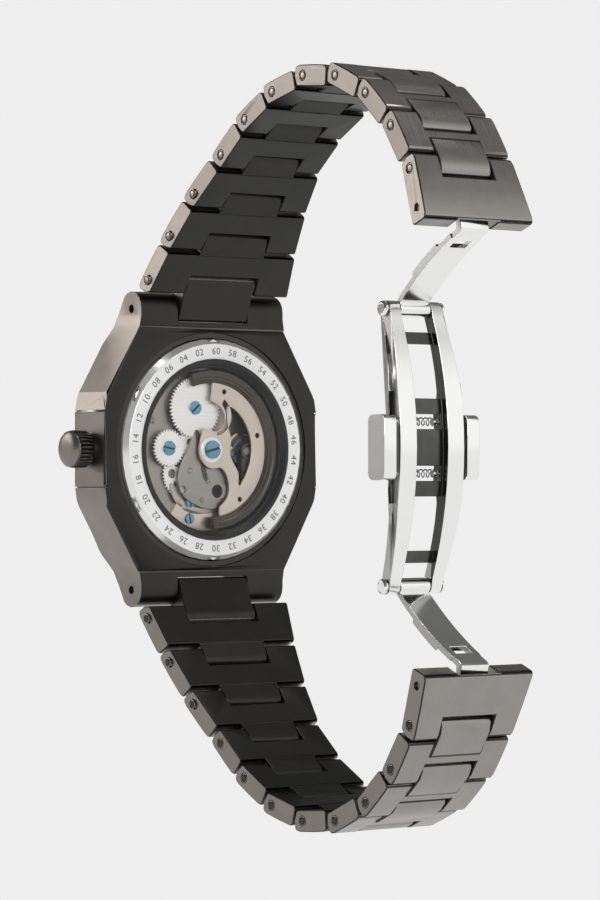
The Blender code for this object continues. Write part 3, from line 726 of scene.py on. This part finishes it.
# --- case -------------------------------------------------------------------------------------
@dataclass
class Case:
    """Middle case, bezel, crystals, back ring with its engraved scale, and the crown."""

    ring_inner: float = 14.35
    ring_outer: float = 16.75
    ring_face: float = -0.2
    crown_axis: float = -5.3
    flutes: int = 26

    def middle(self) -> None:
        """The middle case: satin back plate and polished recess, both darkened with painted shade, brushed warm
        flanks.
        """
        made = merged_copy("mid_case", "mid_case_finished")
        facing, centre = face_normals(made), face_centres(made)
        back = facing[:, 1] > 0.6
        recess = (face_reach(made) < 18.75) & (centre[:, 1] > -3)
        # The back plate and the recess take the dark inner and recess finishes, whose darkness is painted shade.
        index = np.where(recess, 2, np.where(back, 0, np.where(facing[:, 1] < -0.6, 3, 1)))
        straight_grain(made, np.eye(3), 0.1, 6.0)
        dress("mid_case", [Finish.INNER, Finish.FLANK, Finish.RECESS, Finish.OUTER], "case_metal", index, 0.08, made)

    def front(self) -> None:
        """Bezel, front crystal, dial ring, markers and hands."""
        bezel = merged_copy("bezel", "bezel_finished")
        straight_grain(bezel, np.eye(3), 0.1, 6.0)
        facing = face_normals(bezel)
        dress("bezel", [Finish.OUTER, Finish.FLANK], "case_metal",
              np.where(np.abs(facing[:, 1]) < 0.4, 1, 0), 0.1, bezel)
        for node in ("front_crystal", "back_crystal"):
            made = dress(node, [Finish.CRYSTAL], "crystal", width=0.0)
            turned_grain(made, np.zeros(3), Axis.WATCH)
        dial = dress("dial", [Finish.DIAL], "dial_lacquer", width=0.0)
        turned_grain(dial, np.zeros(3), Axis.WATCH, 0.3)
        for node in ("hour_hand", "minute_hand", "second_hand"):
            made = merged_copy(node, node + "_finished")
            straight_grain(made, np.eye(3), 0.1, 4.0)
            dress(node, [Finish.STEEL], "hand_steel", width=0.04, piece=made)
        self.markers()
        ring = turned_piece("dial_flange", [(14.55, -10.15), (14.55, -9.9), (13.9, -8.5), (15.3, -8.5), (15.3, -10.15),
                                            (14.55, -10.15)], (0, 0, 0), Axis.WATCH, [Finish.BLACK, Finish.ENGRAVED],
                            [1, 0, 0, 0, 0], 96)
        mounted(ring, "case", "dial_lacquer")

    def markers(self) -> None:
        """Twelve raised hour bars with a pale inlay, and forty-eight fine minute marks between them."""
        parts, faces, index = [], [], []
        for k in range(60):
            hour = k % 5 == 0
            half, inner, outer, top = (0.42, 10.6, 13.2, 0.3) if hour else (0.07, 12.9, 13.6, 0.05)
            turn = 2 * math.pi * k / 60
            out, side = np.array([math.sin(turn), 0, math.cos(turn)]), np.array([math.cos(turn), 0, -math.sin(turn)])
            inset = half * 0.3
            levels = [(-8.45, 0.0), (-8.45 - top, 0.0), (-8.45 - top, inset), (-8.45 - top * 0.8, inset * 1.1)]
            base = sum(len(p) for p in parts)
            rows = []
            for y, cut in levels:
                for a, b in ((-1, 0), (1, 0), (1, 1), (-1, 1)):
                    reach = outer - cut if b else inner + cut
                    rows.append(out * reach + side * a * (half - cut) + np.array([0, y, 0]))
            parts.append(np.array(rows))
            for level in range(3):
                for c in range(4):
                    d = (c + 1) % 4
                    faces.append([base + level * 4 + c, base + level * 4 + d, base + level * 4 + 4 + d,
                                  base + level * 4 + 4 + c])
                    index.append(0)
            faces += [[base + 12, base + 13, base + 14, base + 15], [base, base + 3, base + 2, base + 1]]
            index += [1, 0]
        made = new_piece("hour_markers", np.vstack(parts), faces, [Finish.STEEL, Finish.LUME], np.array(index))
        merge(made)
        straight_grain(made, np.eye(3), 0.1, 2.0)
        mounted(made, "case", "hand_steel")

    def back(self) -> None:
        """Steel back ring, black window seal and the engraved ring of numbers."""
        ring = merged_copy("case_back_ring", "case_back_ring_finished")
        facing, centre = face_normals(ring), face_centres(ring)
        flat = (facing[:, 1] > 0.95) & (centre[:, 1] > -0.35)
        inner = face_reach(ring) < 14.4
        turned_grain(ring, np.zeros(3), Axis.WATCH, 0.09)
        dress("case_back_ring", [Finish.RING, Finish.RING_FACE, Finish.BLACK], "back_ring_steel",
              np.where(inner, 2, np.where(flat, 1, 0)), 0.06, ring)
        seal = turned_piece("window_seal", [(13.15, -0.74), (13.25, -0.6), (13.7, 0.012), (14.32, 0.012),
                                            (14.32, -0.06), (13.85, -0.06), (13.3, -0.74), (13.15, -0.74)],
                            (0, 0, 0), Axis.WATCH, [Finish.BLACK], None, 120)
        mounted(seal, "case", "seal_rubber")
        self.engraving()

    def engraving(self) -> None:
        """A plain scale on the ring: even numbers from 2 to 60, filled dark."""
        middle = (self.ring_inner + self.ring_outer) / 2
        pieces = []
        for k in range(30):
            turn = 2 * math.pi * k / 30
            text = bpy.data.curves.new("scale_number", "FONT")
            text.body = f"{60 if k == 0 else 2 * k:02d}"
            text.size = 1.5
            text.space_character = 1.12
            text.align_x, text.align_y = "CENTER", "CENTER"
            text.resolution_u = 3
            text.extrude = 0.012
            holder = bpy.data.objects.new("scale_number", text)
            bpy.context.scene.collection.objects.link(holder)
            graph = bpy.context.evaluated_depsgraph_get()
            mesh = bpy.data.meshes.new_from_object(holder.evaluated_get(graph))
            spin = Matrix.Rotation(turn, 4, "Z")
            lift = Matrix.Translation((0, middle, 0))
            lay = Matrix(((-1, 0, 0, 0), (0, 0, 1, self.ring_face + 0.012), (0, 1, 0, 0), (0, 0, 0, 1)))
            mesh.transform(Matrix.Scale(MM, 4) @ lay @ spin @ lift)
            pieces.append(mesh)
            bpy.data.objects.remove(holder)
            bpy.data.curves.remove(text)
        work = bmesh.new()
        for mesh in pieces:
            work.from_mesh(mesh)
            bpy.data.meshes.remove(mesh)
        bmesh.ops.remove_doubles(work, verts=work.verts, dist=1e-7)
        bmesh.ops.recalc_face_normals(work, faces=work.faces)
        mesh = bpy.data.meshes.new("scale_numbers")
        work.to_mesh(mesh)
        work.free()
        mesh.materials.append(Paint.of(Finish.ENGRAVED))
        made = bpy.data.objects.new("scale_numbers", mesh)
        bpy.context.scene.collection.objects.link(made)
        turned_grain(made, np.zeros(3), Axis.WATCH)
        mounted(made, "case", "back_ring_steel")

    def crown(self) -> None:
        """The crown: a domed cap over a grip whose radius falls in rounded flutes round the axis."""
        lengths = np.array([21.46, 21.5, 21.75, 21.8, 23.95, 24.1, 24.2, 24.35, 24.55, 24.85, 25.05, 25.13, 25.15])
        radii = np.array([2.06, 2.7, 2.88, 2.93, 2.93, 2.9, 2.72, 2.7, 2.78, 2.5, 1.9, 1.1, 0.0])
        depth = np.array([0, 0, 0.1, 0.3, 0.3, 0.15, 0, 0, 0, 0, 0, 0, 0])
        turn = np.linspace(0, 2 * np.pi, self.flutes * 10, endpoint=False)
        wave = np.clip(np.abs(np.sin(self.flutes * turn / 2)) ** 0.6, 0, 1)
        radius = radii[:, None] - depth[:, None] * (1 - wave[None, :])
        places = np.stack([np.repeat(lengths[:, None], len(turn), 1), self.crown_axis + radius * np.cos(turn),
                           radius * np.sin(turn)], axis=2).reshape(-1, 3)
        i, j = np.meshgrid(np.arange(len(radii) - 1), np.arange(len(turn)), indexing="ij")
        after = (j + 1) % len(turn)
        n = len(turn)
        faces = np.stack([i * n + j, i * n + after, (i + 1) * n + after, (i + 1) * n + j], axis=2).reshape(-1, 4)
        # The grip takes the dark recess finish, painted shade in its flutes; the cap is brushed.
        finish = np.where(i.ravel() >= 6, 1, 0)
        faces = faces.tolist() + [list(range(n))[::-1]]
        made = new_piece("crown_finished", places, faces, [Finish.RECESS, Finish.FLANK], np.append(finish, 0))
        merge(made)
        soften(made, 40)
        turned_grain(made, np.array([0, self.crown_axis, 0]), Axis.CROWN)
        mounted(made, "crown", "case_metal", "crown")
        for node, finish, slot in (("stem", Finish.WHEEL, "wheel_steel"), ("crown_tube", Finish.STEEL, "wheel_steel"),
                                   ("crown_gasket", Finish.RUBBER, "seal_rubber")):
            part = dress(node, [finish], slot, width=0.0)
            turned_grain(part, np.array([0, self.crown_axis, 0]), Axis.CROWN)

    def build(self) -> None:
        """Builds the whole case."""
        self.middle()
        self.front()
        self.back()
        self.crown()


# --- movement ---------------------------------------------------------------------------------
@dataclass
class Movement:
    """Everything behind the window: plate, bridges, toothed wheels, blued screws, jewels and rotor."""

    ratchet: Point2 = (2.6, 6.6)
    crown_wheel: Point2 = (7.7, 0.2)
    reverser: Point2 = (4.6, -3.8)
    balance: Point2 = (-7.4, -0.2)
    wheel_low: float = -2.55
    wheel_top: float = -2.2
    bridge_top: float = -2.02
    screws: list[tuple[str, float, float, float, float, float]] = field(default_factory=lambda: [
        ("ratchet_screw", 2.6, 6.6, 1.05, -2.22, -40.0), ("crown_wheel_screw", 7.7, 0.2, 1.15, -2.22, 10.0),
        ("bridge_screw_a", 3.4, -8.3, 0.85, -2.6, 85.0), ("bridge_screw_b", 3.5, -10.9, 0.85, -2.6, 80.0)])

    def screw(self, name: str, x: float, z: float, radius: float, top: float, slit: float, body: str,
              *nodes: str) -> None:
        """A blued screw head with a real slit: two arcs closed by a chord each, over a lower disc darkened as painted
        shade, seen through the slit.

        Args:
            name: the piece's name.
            x: its centre.
            z: its centre.
            radius: its radius.
            top: the height that it stands on.
            slit: the direction of the slit in degrees.
            body: the body that it moves with.
            nodes: the CAD nodes that it replaces.
        """
        way = math.radians(slit)
        half = radius * 0.13
        offset = math.degrees(math.asin(half / radius))
        upper = arc(0, 0, radius, offset, 180 - offset, 20)
        lower = arc(0, 0, radius, 180 + offset, 360 - offset, 20)
        spin = np.array([[math.cos(way), math.sin(way)], [-math.sin(way), math.cos(way)]])
        loops = [half_loop @ spin + np.array([x, z]) for half_loop in (upper, lower)]
        made = plate_piece(name, loops, top - 0.12, top + 0.3, Finish.BLUE, 0.05, slit)
        mounted(made, body, "blued_steel", *nodes)
        # The disc under the slit is dark polished metal: painted shade at the bottom of the slit.
        reach = radius * 0.97
        disc = [(0, -0.2), (0, 0.05), (reach, 0.05), (reach, -0.2), (0, -0.2)]
        floor = turned_piece(name + "_slit_shade", disc, (x, top, z), Axis.WATCH, [Finish.RECESS], None, 28)
        mounted(floor, body, "blued_steel")

    def jewel(self, name: str, x: float, z: float, radius: float, top: float) -> None:
        """A pierced jewel: a dished ring in a polished sink.

        Args:
            name: the piece's name.
            x: its centre.
            z: its centre.
            radius: its radius.
            top: the height of the plate about it.
        """
        profile = [(0, -0.15), (radius * 0.2, -0.1), (radius * 0.5, 0.02), (radius * 0.72, 0.05),
                   (radius * 0.78, -0.02), (radius, 0.09), (radius * 1.08, 0.0), (radius * 1.08, -0.25), (0, -0.25)]
        made = turned_piece(name, profile, (x, top, z), Axis.WATCH, [Finish.JEWEL, Finish.ROTOR],
                            [0, 0, 0, 1, 1, 1, 1, 1], 28)
        mounted(made, "case", "plate_nickel")

    def plates(self) -> None:
        """Main plate, train bridge, winding-side plate and the small plates at the lower edge."""
        for node, finish in (("main_plate", Finish.PLATE), ("movement_holder", Finish.POLYMER)):
            slot = "plate_nickel" if node == "main_plate" else "holder_polymer"
            part = dress(node, [finish], slot, width=0.05)
            turned_grain(part, np.zeros(3), Axis.WATCH, 0.2)
        base = merged_copy("train_bridge", "train_bridge_finished")
        straight_grain(base, np.eye(3), 0.15, 3.0)
        dress("train_bridge", [Finish.BRIDGE], "plate_nickel", width=0.08, piece=base)
        blob = smooth_loop([(2.7, 2.6), (3.9, 0.4), (5.5, -2.2), (6.1, -4.9), (4.9, -7.4), (2.2, -8.9), (-0.8, -9.4),
                            (-3.2, -8.6), (-4.2, -5.9), (-3.8, -3.2), (-1.9, -2.5), (0.6, -1.5), (1.3, 0.9)])
        holes = [circle(5.0, -6.3, 0.7, 20), circle(-1.6, -6.6, 1.05, 24)]
        made = plate_piece("automatic_bridge", [blob] + holes, -2.72, self.bridge_top, Finish.BRIDGE, 0.08, 35)
        mounted(made, "case", "plate_nickel")
        strip = smooth_loop([(2.1, 2.9), (2.7, 2.7), (2.35, 0.4), (1.75, -2.2), (1.15, -4.5), (0.45, -4.9),
                             (0.35, -4.2), (0.95, -2.0), (1.5, 0.5)])
        spring = plate_piece("click_spring", [strip], -2.04, -1.96, Finish.RIM, 0.03, 80)
        mounted(spring, "case", "plate_nickel")
        lower = np.vstack([arc(0, 0, 12.9, 250, 305, 14), arc(0, 0, 10.0, 305, 250, 12)])
        mounted(plate_piece("date_side_plate", [lower], -3.4, -2.6, Finish.ROTOR, 0.06, 20), "case", "plate_nickel")
        crescent = smooth_loop([(7.2, -5.4), (6.6, -7.6), (4.6, -9.6), (1.6, -10.3), (-2.0, -9.9), (-2.2, -9.1),
                                (1.2, -9.2), (4.2, -8.2), (6.1, -5.9)])
        mounted(plate_piece("lower_bridge", [crescent], -2.9, -2.6, Finish.PLATE, 0.06, -10), "case", "plate_nickel")
        jewels = (("jewel_a", 3.6, -3.4, 0.55), ("jewel_b", 0.2, -4.9, 0.55), ("jewel_c", 1.4, -8.0, 0.42))
        for name, x, z, r in jewels:
            self.jewel(name, x, z, r, self.bridge_top)
        self.jewel("plate_jewel", 10.2, 4.6, 0.5, -3.2)

    def wheels(self) -> None:
        """Ratchet, crown and reverser wheels with cut teeth, and an intermediate wheel below."""
        x, z = self.ratchet
        teeth = plate_piece("ratchet_wheel_toothed", [gear(x, z, 4.9, 0.36, 52), circle(x, z, 0.5, 20)],
                            self.wheel_low, self.wheel_top, Finish.WHEEL, 0.03)
        turned_grain(teeth, np.array([x, 0, z]), Axis.WATCH, 0.15)
        mounted(teeth, "ratchet_wheel", "wheel_steel", "ratchet_wheel")
        x, z = self.crown_wheel
        teeth = plate_piece("crown_wheel_toothed", [gear(x, z, 3.0, 0.34, 32, 0.05), circle(x, z, 0.45, 20)],
                            self.wheel_low, self.wheel_top, Finish.WHEEL, 0.03)
        turned_grain(teeth, np.array([x, 0, z]), Axis.WATCH, 0.15)
        mounted(teeth, "crown_wheel", "wheel_steel", "crown_wheel")
        x, z = self.reverser
        spokes = [circle(x + 2.1 * math.cos(a), z + 2.1 * math.sin(a), 0.75, 18)
                  for a in np.linspace(0, 2 * math.pi, 6, endpoint=False)]
        teeth = plate_piece("reverser_wheel_toothed", [gear(x, z, 3.9, 0.32, 44), circle(x, z, 0.4, 16)] + spokes,
                            -3.1, -2.8, Finish.WHEEL, 0.03)
        turned_grain(teeth, np.array([x, 0, z]), Axis.WATCH, 0.15)
        mounted(teeth, "reverser_wheel", "wheel_steel", "reverser_wheel")
        small = plate_piece("intermediate_wheel", [gear(3.3, 1.2, 2.2, 0.28, 28), circle(3.3, 1.2, 0.5, 16)],
                            -3.1, -2.76, Finish.WHEEL, 0.03)
        mounted(small, "case", "wheel_steel")

    def balance_group(self) -> None:
        """Balance wheel with arms, its hairspring coil, and the cock with its jewel."""
        x, z = self.balance
        openings = []
        for start in (20, 200):
            outer = arc(x, z, 2.6, start, start + 140, 20)
            inner = arc(x, z, 0.9, start + 130, start + 10, 10)
            openings.append(np.vstack([outer, inner]))
        wheel = plate_piece("balance_wheel_spoked", [circle(x, z, 3.1, 60), circle(x, z, 0.3, 16)] + openings,
                            -3.7, -3.25, Finish.BRASS, 0.06)
        turned_grain(wheel, np.array([x, 0, z]), Axis.WATCH, 0.15)
        mounted(wheel, "balance_wheel", "balance_brass", "balance_wheel")
        turn = np.linspace(0, 2 * np.pi * 6, 360)
        reach = 0.6 + 1.6 * turn / turn[-1]
        path = np.column_stack([x + reach * np.cos(turn), np.full(len(turn), -3.02), z + reach * np.sin(turn)])
        corners = np.array([[0.045, 0.08], [-0.045, 0.08], [-0.045, -0.08], [0.045, -0.08]])
        out = np.column_stack([np.cos(turn), np.zeros(len(turn)), np.sin(turn)])
        ring = path[:, None, :] + out[:, None, :] * corners[None, :, :1] + np.array([0, 1, 0]) * corners[None, :, 1:]
        n = len(turn)
        faces = [[k * 4 + c, k * 4 + (c + 1) % 4, k * 4 + 4 + (c + 1) % 4, k * 4 + 4 + c]
                 for k in range(n - 1) for c in range(4)]
        faces += [[0, 1, 2, 3], [n * 4 - 1, n * 4 - 2, n * 4 - 3, n * 4 - 4]]
        coil = new_piece("hairspring", ring.reshape(-1, 3), faces, [Finish.BLUE])
        merge(coil)
        straight_grain(coil, np.eye(3))
        mounted(coil, "balance_wheel", "balance_brass")
        cock = merged_copy("balance_cock", "balance_cock_finished")
        straight_grain(cock, np.eye(3), 0.15, 3.0)
        dress("balance_cock", [Finish.RIM], "plate_nickel", width=0.07, piece=cock)
        setting = turned_piece("shock_setting", [(0, 0.1), (0.35, 0.12), (0.6, 0.05), (0.65, -0.05), (0.95, -0.05),
                                                 (1.0, 0.18), (1.25, 0.2), (1.3, 0.05), (1.3, -0.1), (0, -0.1)],
                               (x, self.bridge_top, z), Axis.WATCH, [Finish.JEWEL, Finish.RIM, Finish.BRASS],
                               [0, 0, 2, 1, 2, 1, 1, 1, 1], 40)
        mounted(setting, "case", "plate_nickel")

    def rotor(self) -> None:
        """The openworked rotor: thin plate with horn arms and slots, stepped dark rim, blue screw."""
        inner = [(-0.3, 10.55), (-0.1, 8.9), (0.1, 7.9), (-0.7, 7.4), (-1.9, 6.7), (-2.6, 5.2), (-2.3, 3.7),
                 (-1.3, 2.9), (-0.1, 3.0), (0.9, 3.3), (1.6, 3.1), (2.1, 2.0), (2.4, 0.4), (2.3, -1.0),
                 (1.6, -2.1), (0.7, -2.8),
                 (-0.5, -3.0), (-1.9, -2.9), (-2.9, -3.9), (-3.4, -5.4), (-3.3, -7.1), (-2.5, -8.3), (-1.6, -9.2),
                 (-1.7, -10.45)]
        left = smooth_loop(inner, 5)[: len(inner) * 5 - 4]
        outer = arc(0, 0, 10.68, 261, 91.6, 48)
        slot = smooth_loop([(-3.5, 6.9), (-5.6, 5.6), (-7.3, 3.1), (-7.9, 0.3), (-7.4, -2.6), (-6.0, -5.3),
                            (-5.4, -5.6), (-5.3, -3.6), (-4.2, -1.9), (-3.6, -0.2), (-3.9, 1.6),
                            (-3.3, 3.6), (-3.1, 5.6)], 5)
        gap = np.vstack([arc(-0.7, 5.4, 3.15, 125, 262, 24), arc(-0.1, 5.35, 2.7, 250, 137, 24)])
        holes = [circle(-2.5, 9.2, 0.4, 18), circle(-9.1, 2.3, 0.42, 18), circle(-5.6, -7.9, 0.4, 18)]
        plate = plate_piece("rotor_plate", [np.vstack([left, outer]), slot, gap, circle(0, 0, 0.9, 20)] + holes,
                            -1.75, -1.38, Finish.ROTOR, 0.06, 20)
        turned_grain(plate, np.zeros(3), Axis.WATCH, 0.3)
        mounted(plate, "rotor", "rotor_nickel", "rotor")
        steps = np.array([(10.55, -1.88), (10.55, -1.4), (10.7, -1.25), (10.95, -1.3), (11.1, -1.12), (11.45, -1.16),
                          (11.6, -1.0), (12.0, -1.04), (12.15, -0.96), (12.5, -0.97), (12.68, -1.1), (12.68, -1.88)])
        turn = np.radians(np.linspace(71, 269, 100))
        grid = np.stack([steps[:, None, 0] * np.cos(turn), np.repeat(steps[:, 1:2], len(turn), 1),
                         steps[:, None, 0] * np.sin(turn)], axis=2)
        n, m = len(turn), len(steps)
        i, j = np.meshgrid(np.arange(m), np.arange(n - 1), indexing="ij")
        down = (i + 1) % m
        faces = np.stack([i * n + j, i * n + j + 1, down * n + j + 1, down * n + j], axis=2).reshape(-1, 4).tolist()
        faces += [[k * n for k in range(m)], [k * n + n - 1 for k in range(m)][::-1]]
        rim = new_piece("rotor_rim", grid.reshape(-1, 3), faces, [Finish.RIM])
        merge(rim)
        soften(rim, 20)
        turned_grain(rim, np.zeros(3), Axis.WATCH, 0.1)
        mounted(rim, "rotor", "rotor_nickel")
        self.screw("rotor_screw_head", 0, 0, 1.45, -1.12, -15, "case", "rotor_screw")
        collar = turned_piece("rotor_collar", [(1.0, -1.4), (1.0, -1.28), (1.9, -1.28), (2.05, -1.36), (2.05, -1.4),
                                               (1.0, -1.4)], (0, 0, 0), Axis.WATCH, [Finish.WHEEL], None, 48)
        mounted(collar, "rotor", "rotor_nickel")

    def build(self) -> None:
        """Builds the movement."""
        self.plates()
        self.wheels()
        self.balance_group()
        self.rotor()
        for name, x, z, radius, top, slit in self.screws:
            body = {"ratchet_screw": "ratchet_wheel", "crown_wheel_screw": "crown_wheel"}.get(name, "case")
            self.screw(name, x, z, radius, top, slit, body)


# --- clasp ------------------------------------------------------------------------------------
@dataclass
class Clasp:
    """Polished frame, blades, buttons, hinge pins and the springs between the plungers."""

    edge: float = 0.1
    rail_inner: float = 2.95
    hinge: float = 20.4

    def build(self) -> None:
        """Builds the clasp."""
        for node in ("clasp_frame", "upper_blade", "lower_blade", "left_button", "right_button"):
            made = merged_copy(node, node + "_finished")
            straight_grain(made, np.eye(3), 0.12, 6.0)
            centre = face_centres(made)
            inside = (np.abs(centre[:, 0]) < self.rail_inner + 0.02) & (np.abs(centre[:, 2]) < self.hinge - 2.6)
            side = np.abs(face_normals(made)[:, 0]) > 0.8
            index = np.where(side, 2, 0)
            if node == "clasp_frame":
                index = np.where(inside, 1, index)
            finishes = [Finish.STEEL, Finish.STEEL_SHADE, Finish.STEEL_FLANK]
            dress(node, finishes, "polished_steel", index, self.edge, made)
        for side in ("upper", "lower"):
            low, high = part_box(f"{side}_hinge_pin")
            centre = np.array((low + high) / 2) / MM
            made = dress(f"{side}_hinge_pin", [Finish.STEEL], "polished_steel", width=0.05)
            turned_grain(made, centre, Axis.CROWN)
            coil = dress(f"{side}_button_spring", [Finish.SPRING], "spring_steel", width=0.0)
            straight_grain(coil, np.eye(3))


# --- studio -----------------------------------------------------------------------------------
@dataclass
class Studio:
    """Pale floor, even backdrop light, soft panels and the camera.

    The room seen in reflections is bright round one window direction and dark away from it: its
    level is read from half of one plus the cosine to the window, less a share of the height squared.
    """

    bearing: float = 141.3
    height: float = -0.46
    distance: float = 0.534
    lens: float = 141.97
    aim: tuple[float, float, float] = (0.0, 0.035, 0.0)
    backdrop: float = 0.86
    shift: Point2 = (-0.0613, -0.002)
    window: tuple[float, float, float] = (-0.61, 0.77, 0.18)
    rise_loss: float = -0.55
    room: tuple[tuple[float, float], ...] = ((0.0, 0.1), (0.5, 0.15), (0.68, 0.3), (0.82, 0.62), (0.94, 1.0))

    def floor(self) -> None:
        """A wide pale floor under the bracelet, evenly lit by itself."""
        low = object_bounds()[0].z
        turn = np.linspace(0, 2 * np.pi, 96, endpoint=False)
        reach = np.array([0.5, 2.0, 40.0])
        rings = np.stack([reach[:, None] * np.cos(turn), reach[:, None] * np.sin(turn),
                          np.full((3, 96), low - 0.0005)], axis=2).reshape(-1, 3)
        faces = [list(range(96))]
        faces += [[k * 96 + j, (k + 1) * 96 + j, (k + 1) * 96 + (j + 1) % 96, k * 96 + (j + 1) % 96]
                  for k in range(2) for j in range(96)]
        mesh = bpy.data.meshes.new("studio_floor")
        mesh.from_pydata(rings.tolist(), [], faces)
        made = bpy.data.objects.new("studio_floor", mesh)
        bpy.context.scene.collection.objects.link(made)
        material = bpy.data.materials.new("studio_pale")
        material.use_nodes = True
        nodes, links = material.node_tree.nodes, material.node_tree.links
        glow = nodes.new("ShaderNodeEmission")
        glow.inputs["Color"].default_value = (self.backdrop, self.backdrop, self.backdrop, 1)
        links.new(glow.outputs["Emission"], nodes["Material Output"].inputs["Surface"])
        mesh.materials.append(material)
        made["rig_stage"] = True

    def world(self) -> None:
        """Even pale backdrop behind the watch, and a room for reflections, bright round one window."""
        world = bpy.data.worlds.new("studio_world")
        bpy.context.scene.world = world
        world.use_nodes = True
        nodes, links = world.node_tree.nodes, world.node_tree.links
        nodes.clear()
        out = nodes.new("ShaderNodeOutputWorld")
        seen = nodes.new("ShaderNodeBackground")
        seen.inputs["Color"].default_value = (self.backdrop, self.backdrop, self.backdrop, 1)
        room = nodes.new("ShaderNodeBackground")
        place = nodes.new("ShaderNodeTexCoord")
        facing = nodes.new("ShaderNodeVectorMath")
        facing.operation = "DOT_PRODUCT"
        facing.inputs[1].default_value = self.window
        links.new(place.outputs["Generated"], facing.inputs[0])
        half = nodes.new("ShaderNodeMath")
        half.operation = "MULTIPLY_ADD"
        half.inputs[1].default_value = 0.5
        half.inputs[2].default_value = 0.5
        links.new(facing.outputs["Value"], half.inputs[0])
        split = nodes.new("ShaderNodeSeparateXYZ")
        links.new(place.outputs["Generated"], split.inputs["Vector"])
        rise = nodes.new("ShaderNodeMath")
        rise.operation = "MULTIPLY"
        links.new(split.outputs["Z"], rise.inputs[0])
        links.new(split.outputs["Z"], rise.inputs[1])
        fall = nodes.new("ShaderNodeMath")
        fall.operation = "MULTIPLY_ADD"
        fall.inputs[1].default_value = self.rise_loss
        links.new(rise.outputs["Value"], fall.inputs[0])
        links.new(half.outputs["Value"], fall.inputs[2])
        ramp = nodes.new("ShaderNodeValToRGB")
        steps = ramp.color_ramp.elements
        while len(steps) < len(self.room):
            steps.new(0.5)
        for step, (spot, level) in zip(steps, self.room):
            step.position = spot
            step.color = (level, level, level * 0.985, 1)
        links.new(fall.outputs["Value"], ramp.inputs["Fac"])
        links.new(ramp.outputs["Color"], room.inputs["Color"])
        path = nodes.new("ShaderNodeLightPath")
        mix = nodes.new("ShaderNodeMixShader")
        links.new(path.outputs["Is Camera Ray"], mix.inputs["Fac"])
        links.new(room.outputs["Background"], mix.inputs[1])
        links.new(seen.outputs["Background"], mix.inputs[2])
        links.new(mix.outputs["Shader"], out.inputs["Surface"])

    def panel(self, name: str, spot: tuple[float, float, float], size: float, power: float, colour: Colour) -> None:
        """A square soft light aimed at the middle of the watch.

        Args:
            name: the light's name.
            spot: its place in metres.
            size: its side in metres.
            power: its power in watts.
            colour: its colour.
        """
        light = bpy.data.lights.new(name, "AREA")
        light.size = size
        light.energy = power
        light.color = colour
        holder = bpy.data.objects.new(name, light)
        bpy.context.scene.collection.objects.link(holder)
        holder.location = spot
        way = Vector(self.aim) - Vector(spot)
        holder.rotation_mode = "QUATERNION"
        holder.rotation_quaternion = way.to_track_quat("-Z", "Y")

    def camera(self) -> None:
        """The camera, level with the middle of the loop and aimed a little beside it."""
        bearing, height = math.radians(self.bearing), math.radians(self.height)
        back = Vector((math.sin(bearing) * math.cos(height), -math.cos(bearing) * math.cos(height), math.sin(height)))
        data = bpy.data.cameras.new("camera")
        data.sensor_width = 36.0
        data.lens = self.lens
        data.shift_x, data.shift_y = self.shift
        data.clip_start, data.clip_end = 0.01, 100.0
        made = bpy.data.objects.new("camera", data)
        bpy.context.scene.collection.objects.link(made)
        made.location = Vector(self.aim) + back * self.distance
        made.rotation_mode = "QUATERNION"
        made.rotation_quaternion = (-back).to_track_quat("-Z", "Y")
        bpy.context.scene.camera = made

    def build(self) -> None:
        """Builds the studio."""
        self.floor()
        self.world()
        self.panel("key_panel", (0.55, -0.75, 0.35), 0.5, 2.5, (1.0, 0.95, 0.9))
        self.panel("top_panel", (-0.1, 0.2, 0.9), 0.6, 4.0, (1.0, 0.99, 0.98))
        self.panel("side_panel", (0.2, 0.9, 0.35), 0.5, 4.0, (1.0, 1.0, 1.0))
        self.camera()
        bpy.context.scene.view_settings.view_transform = "Standard"


def main() -> None:
    logging.basicConfig(level=logging.INFO, format="%(name)s: %(message)s")
    for assembly in (Bracelet(), Case(), Movement(), Clasp()):
        assembly.build()
        LOG.info("built %s", type(assembly).__name__)
    Studio().build()


if __name__ == "__main__":
    main()
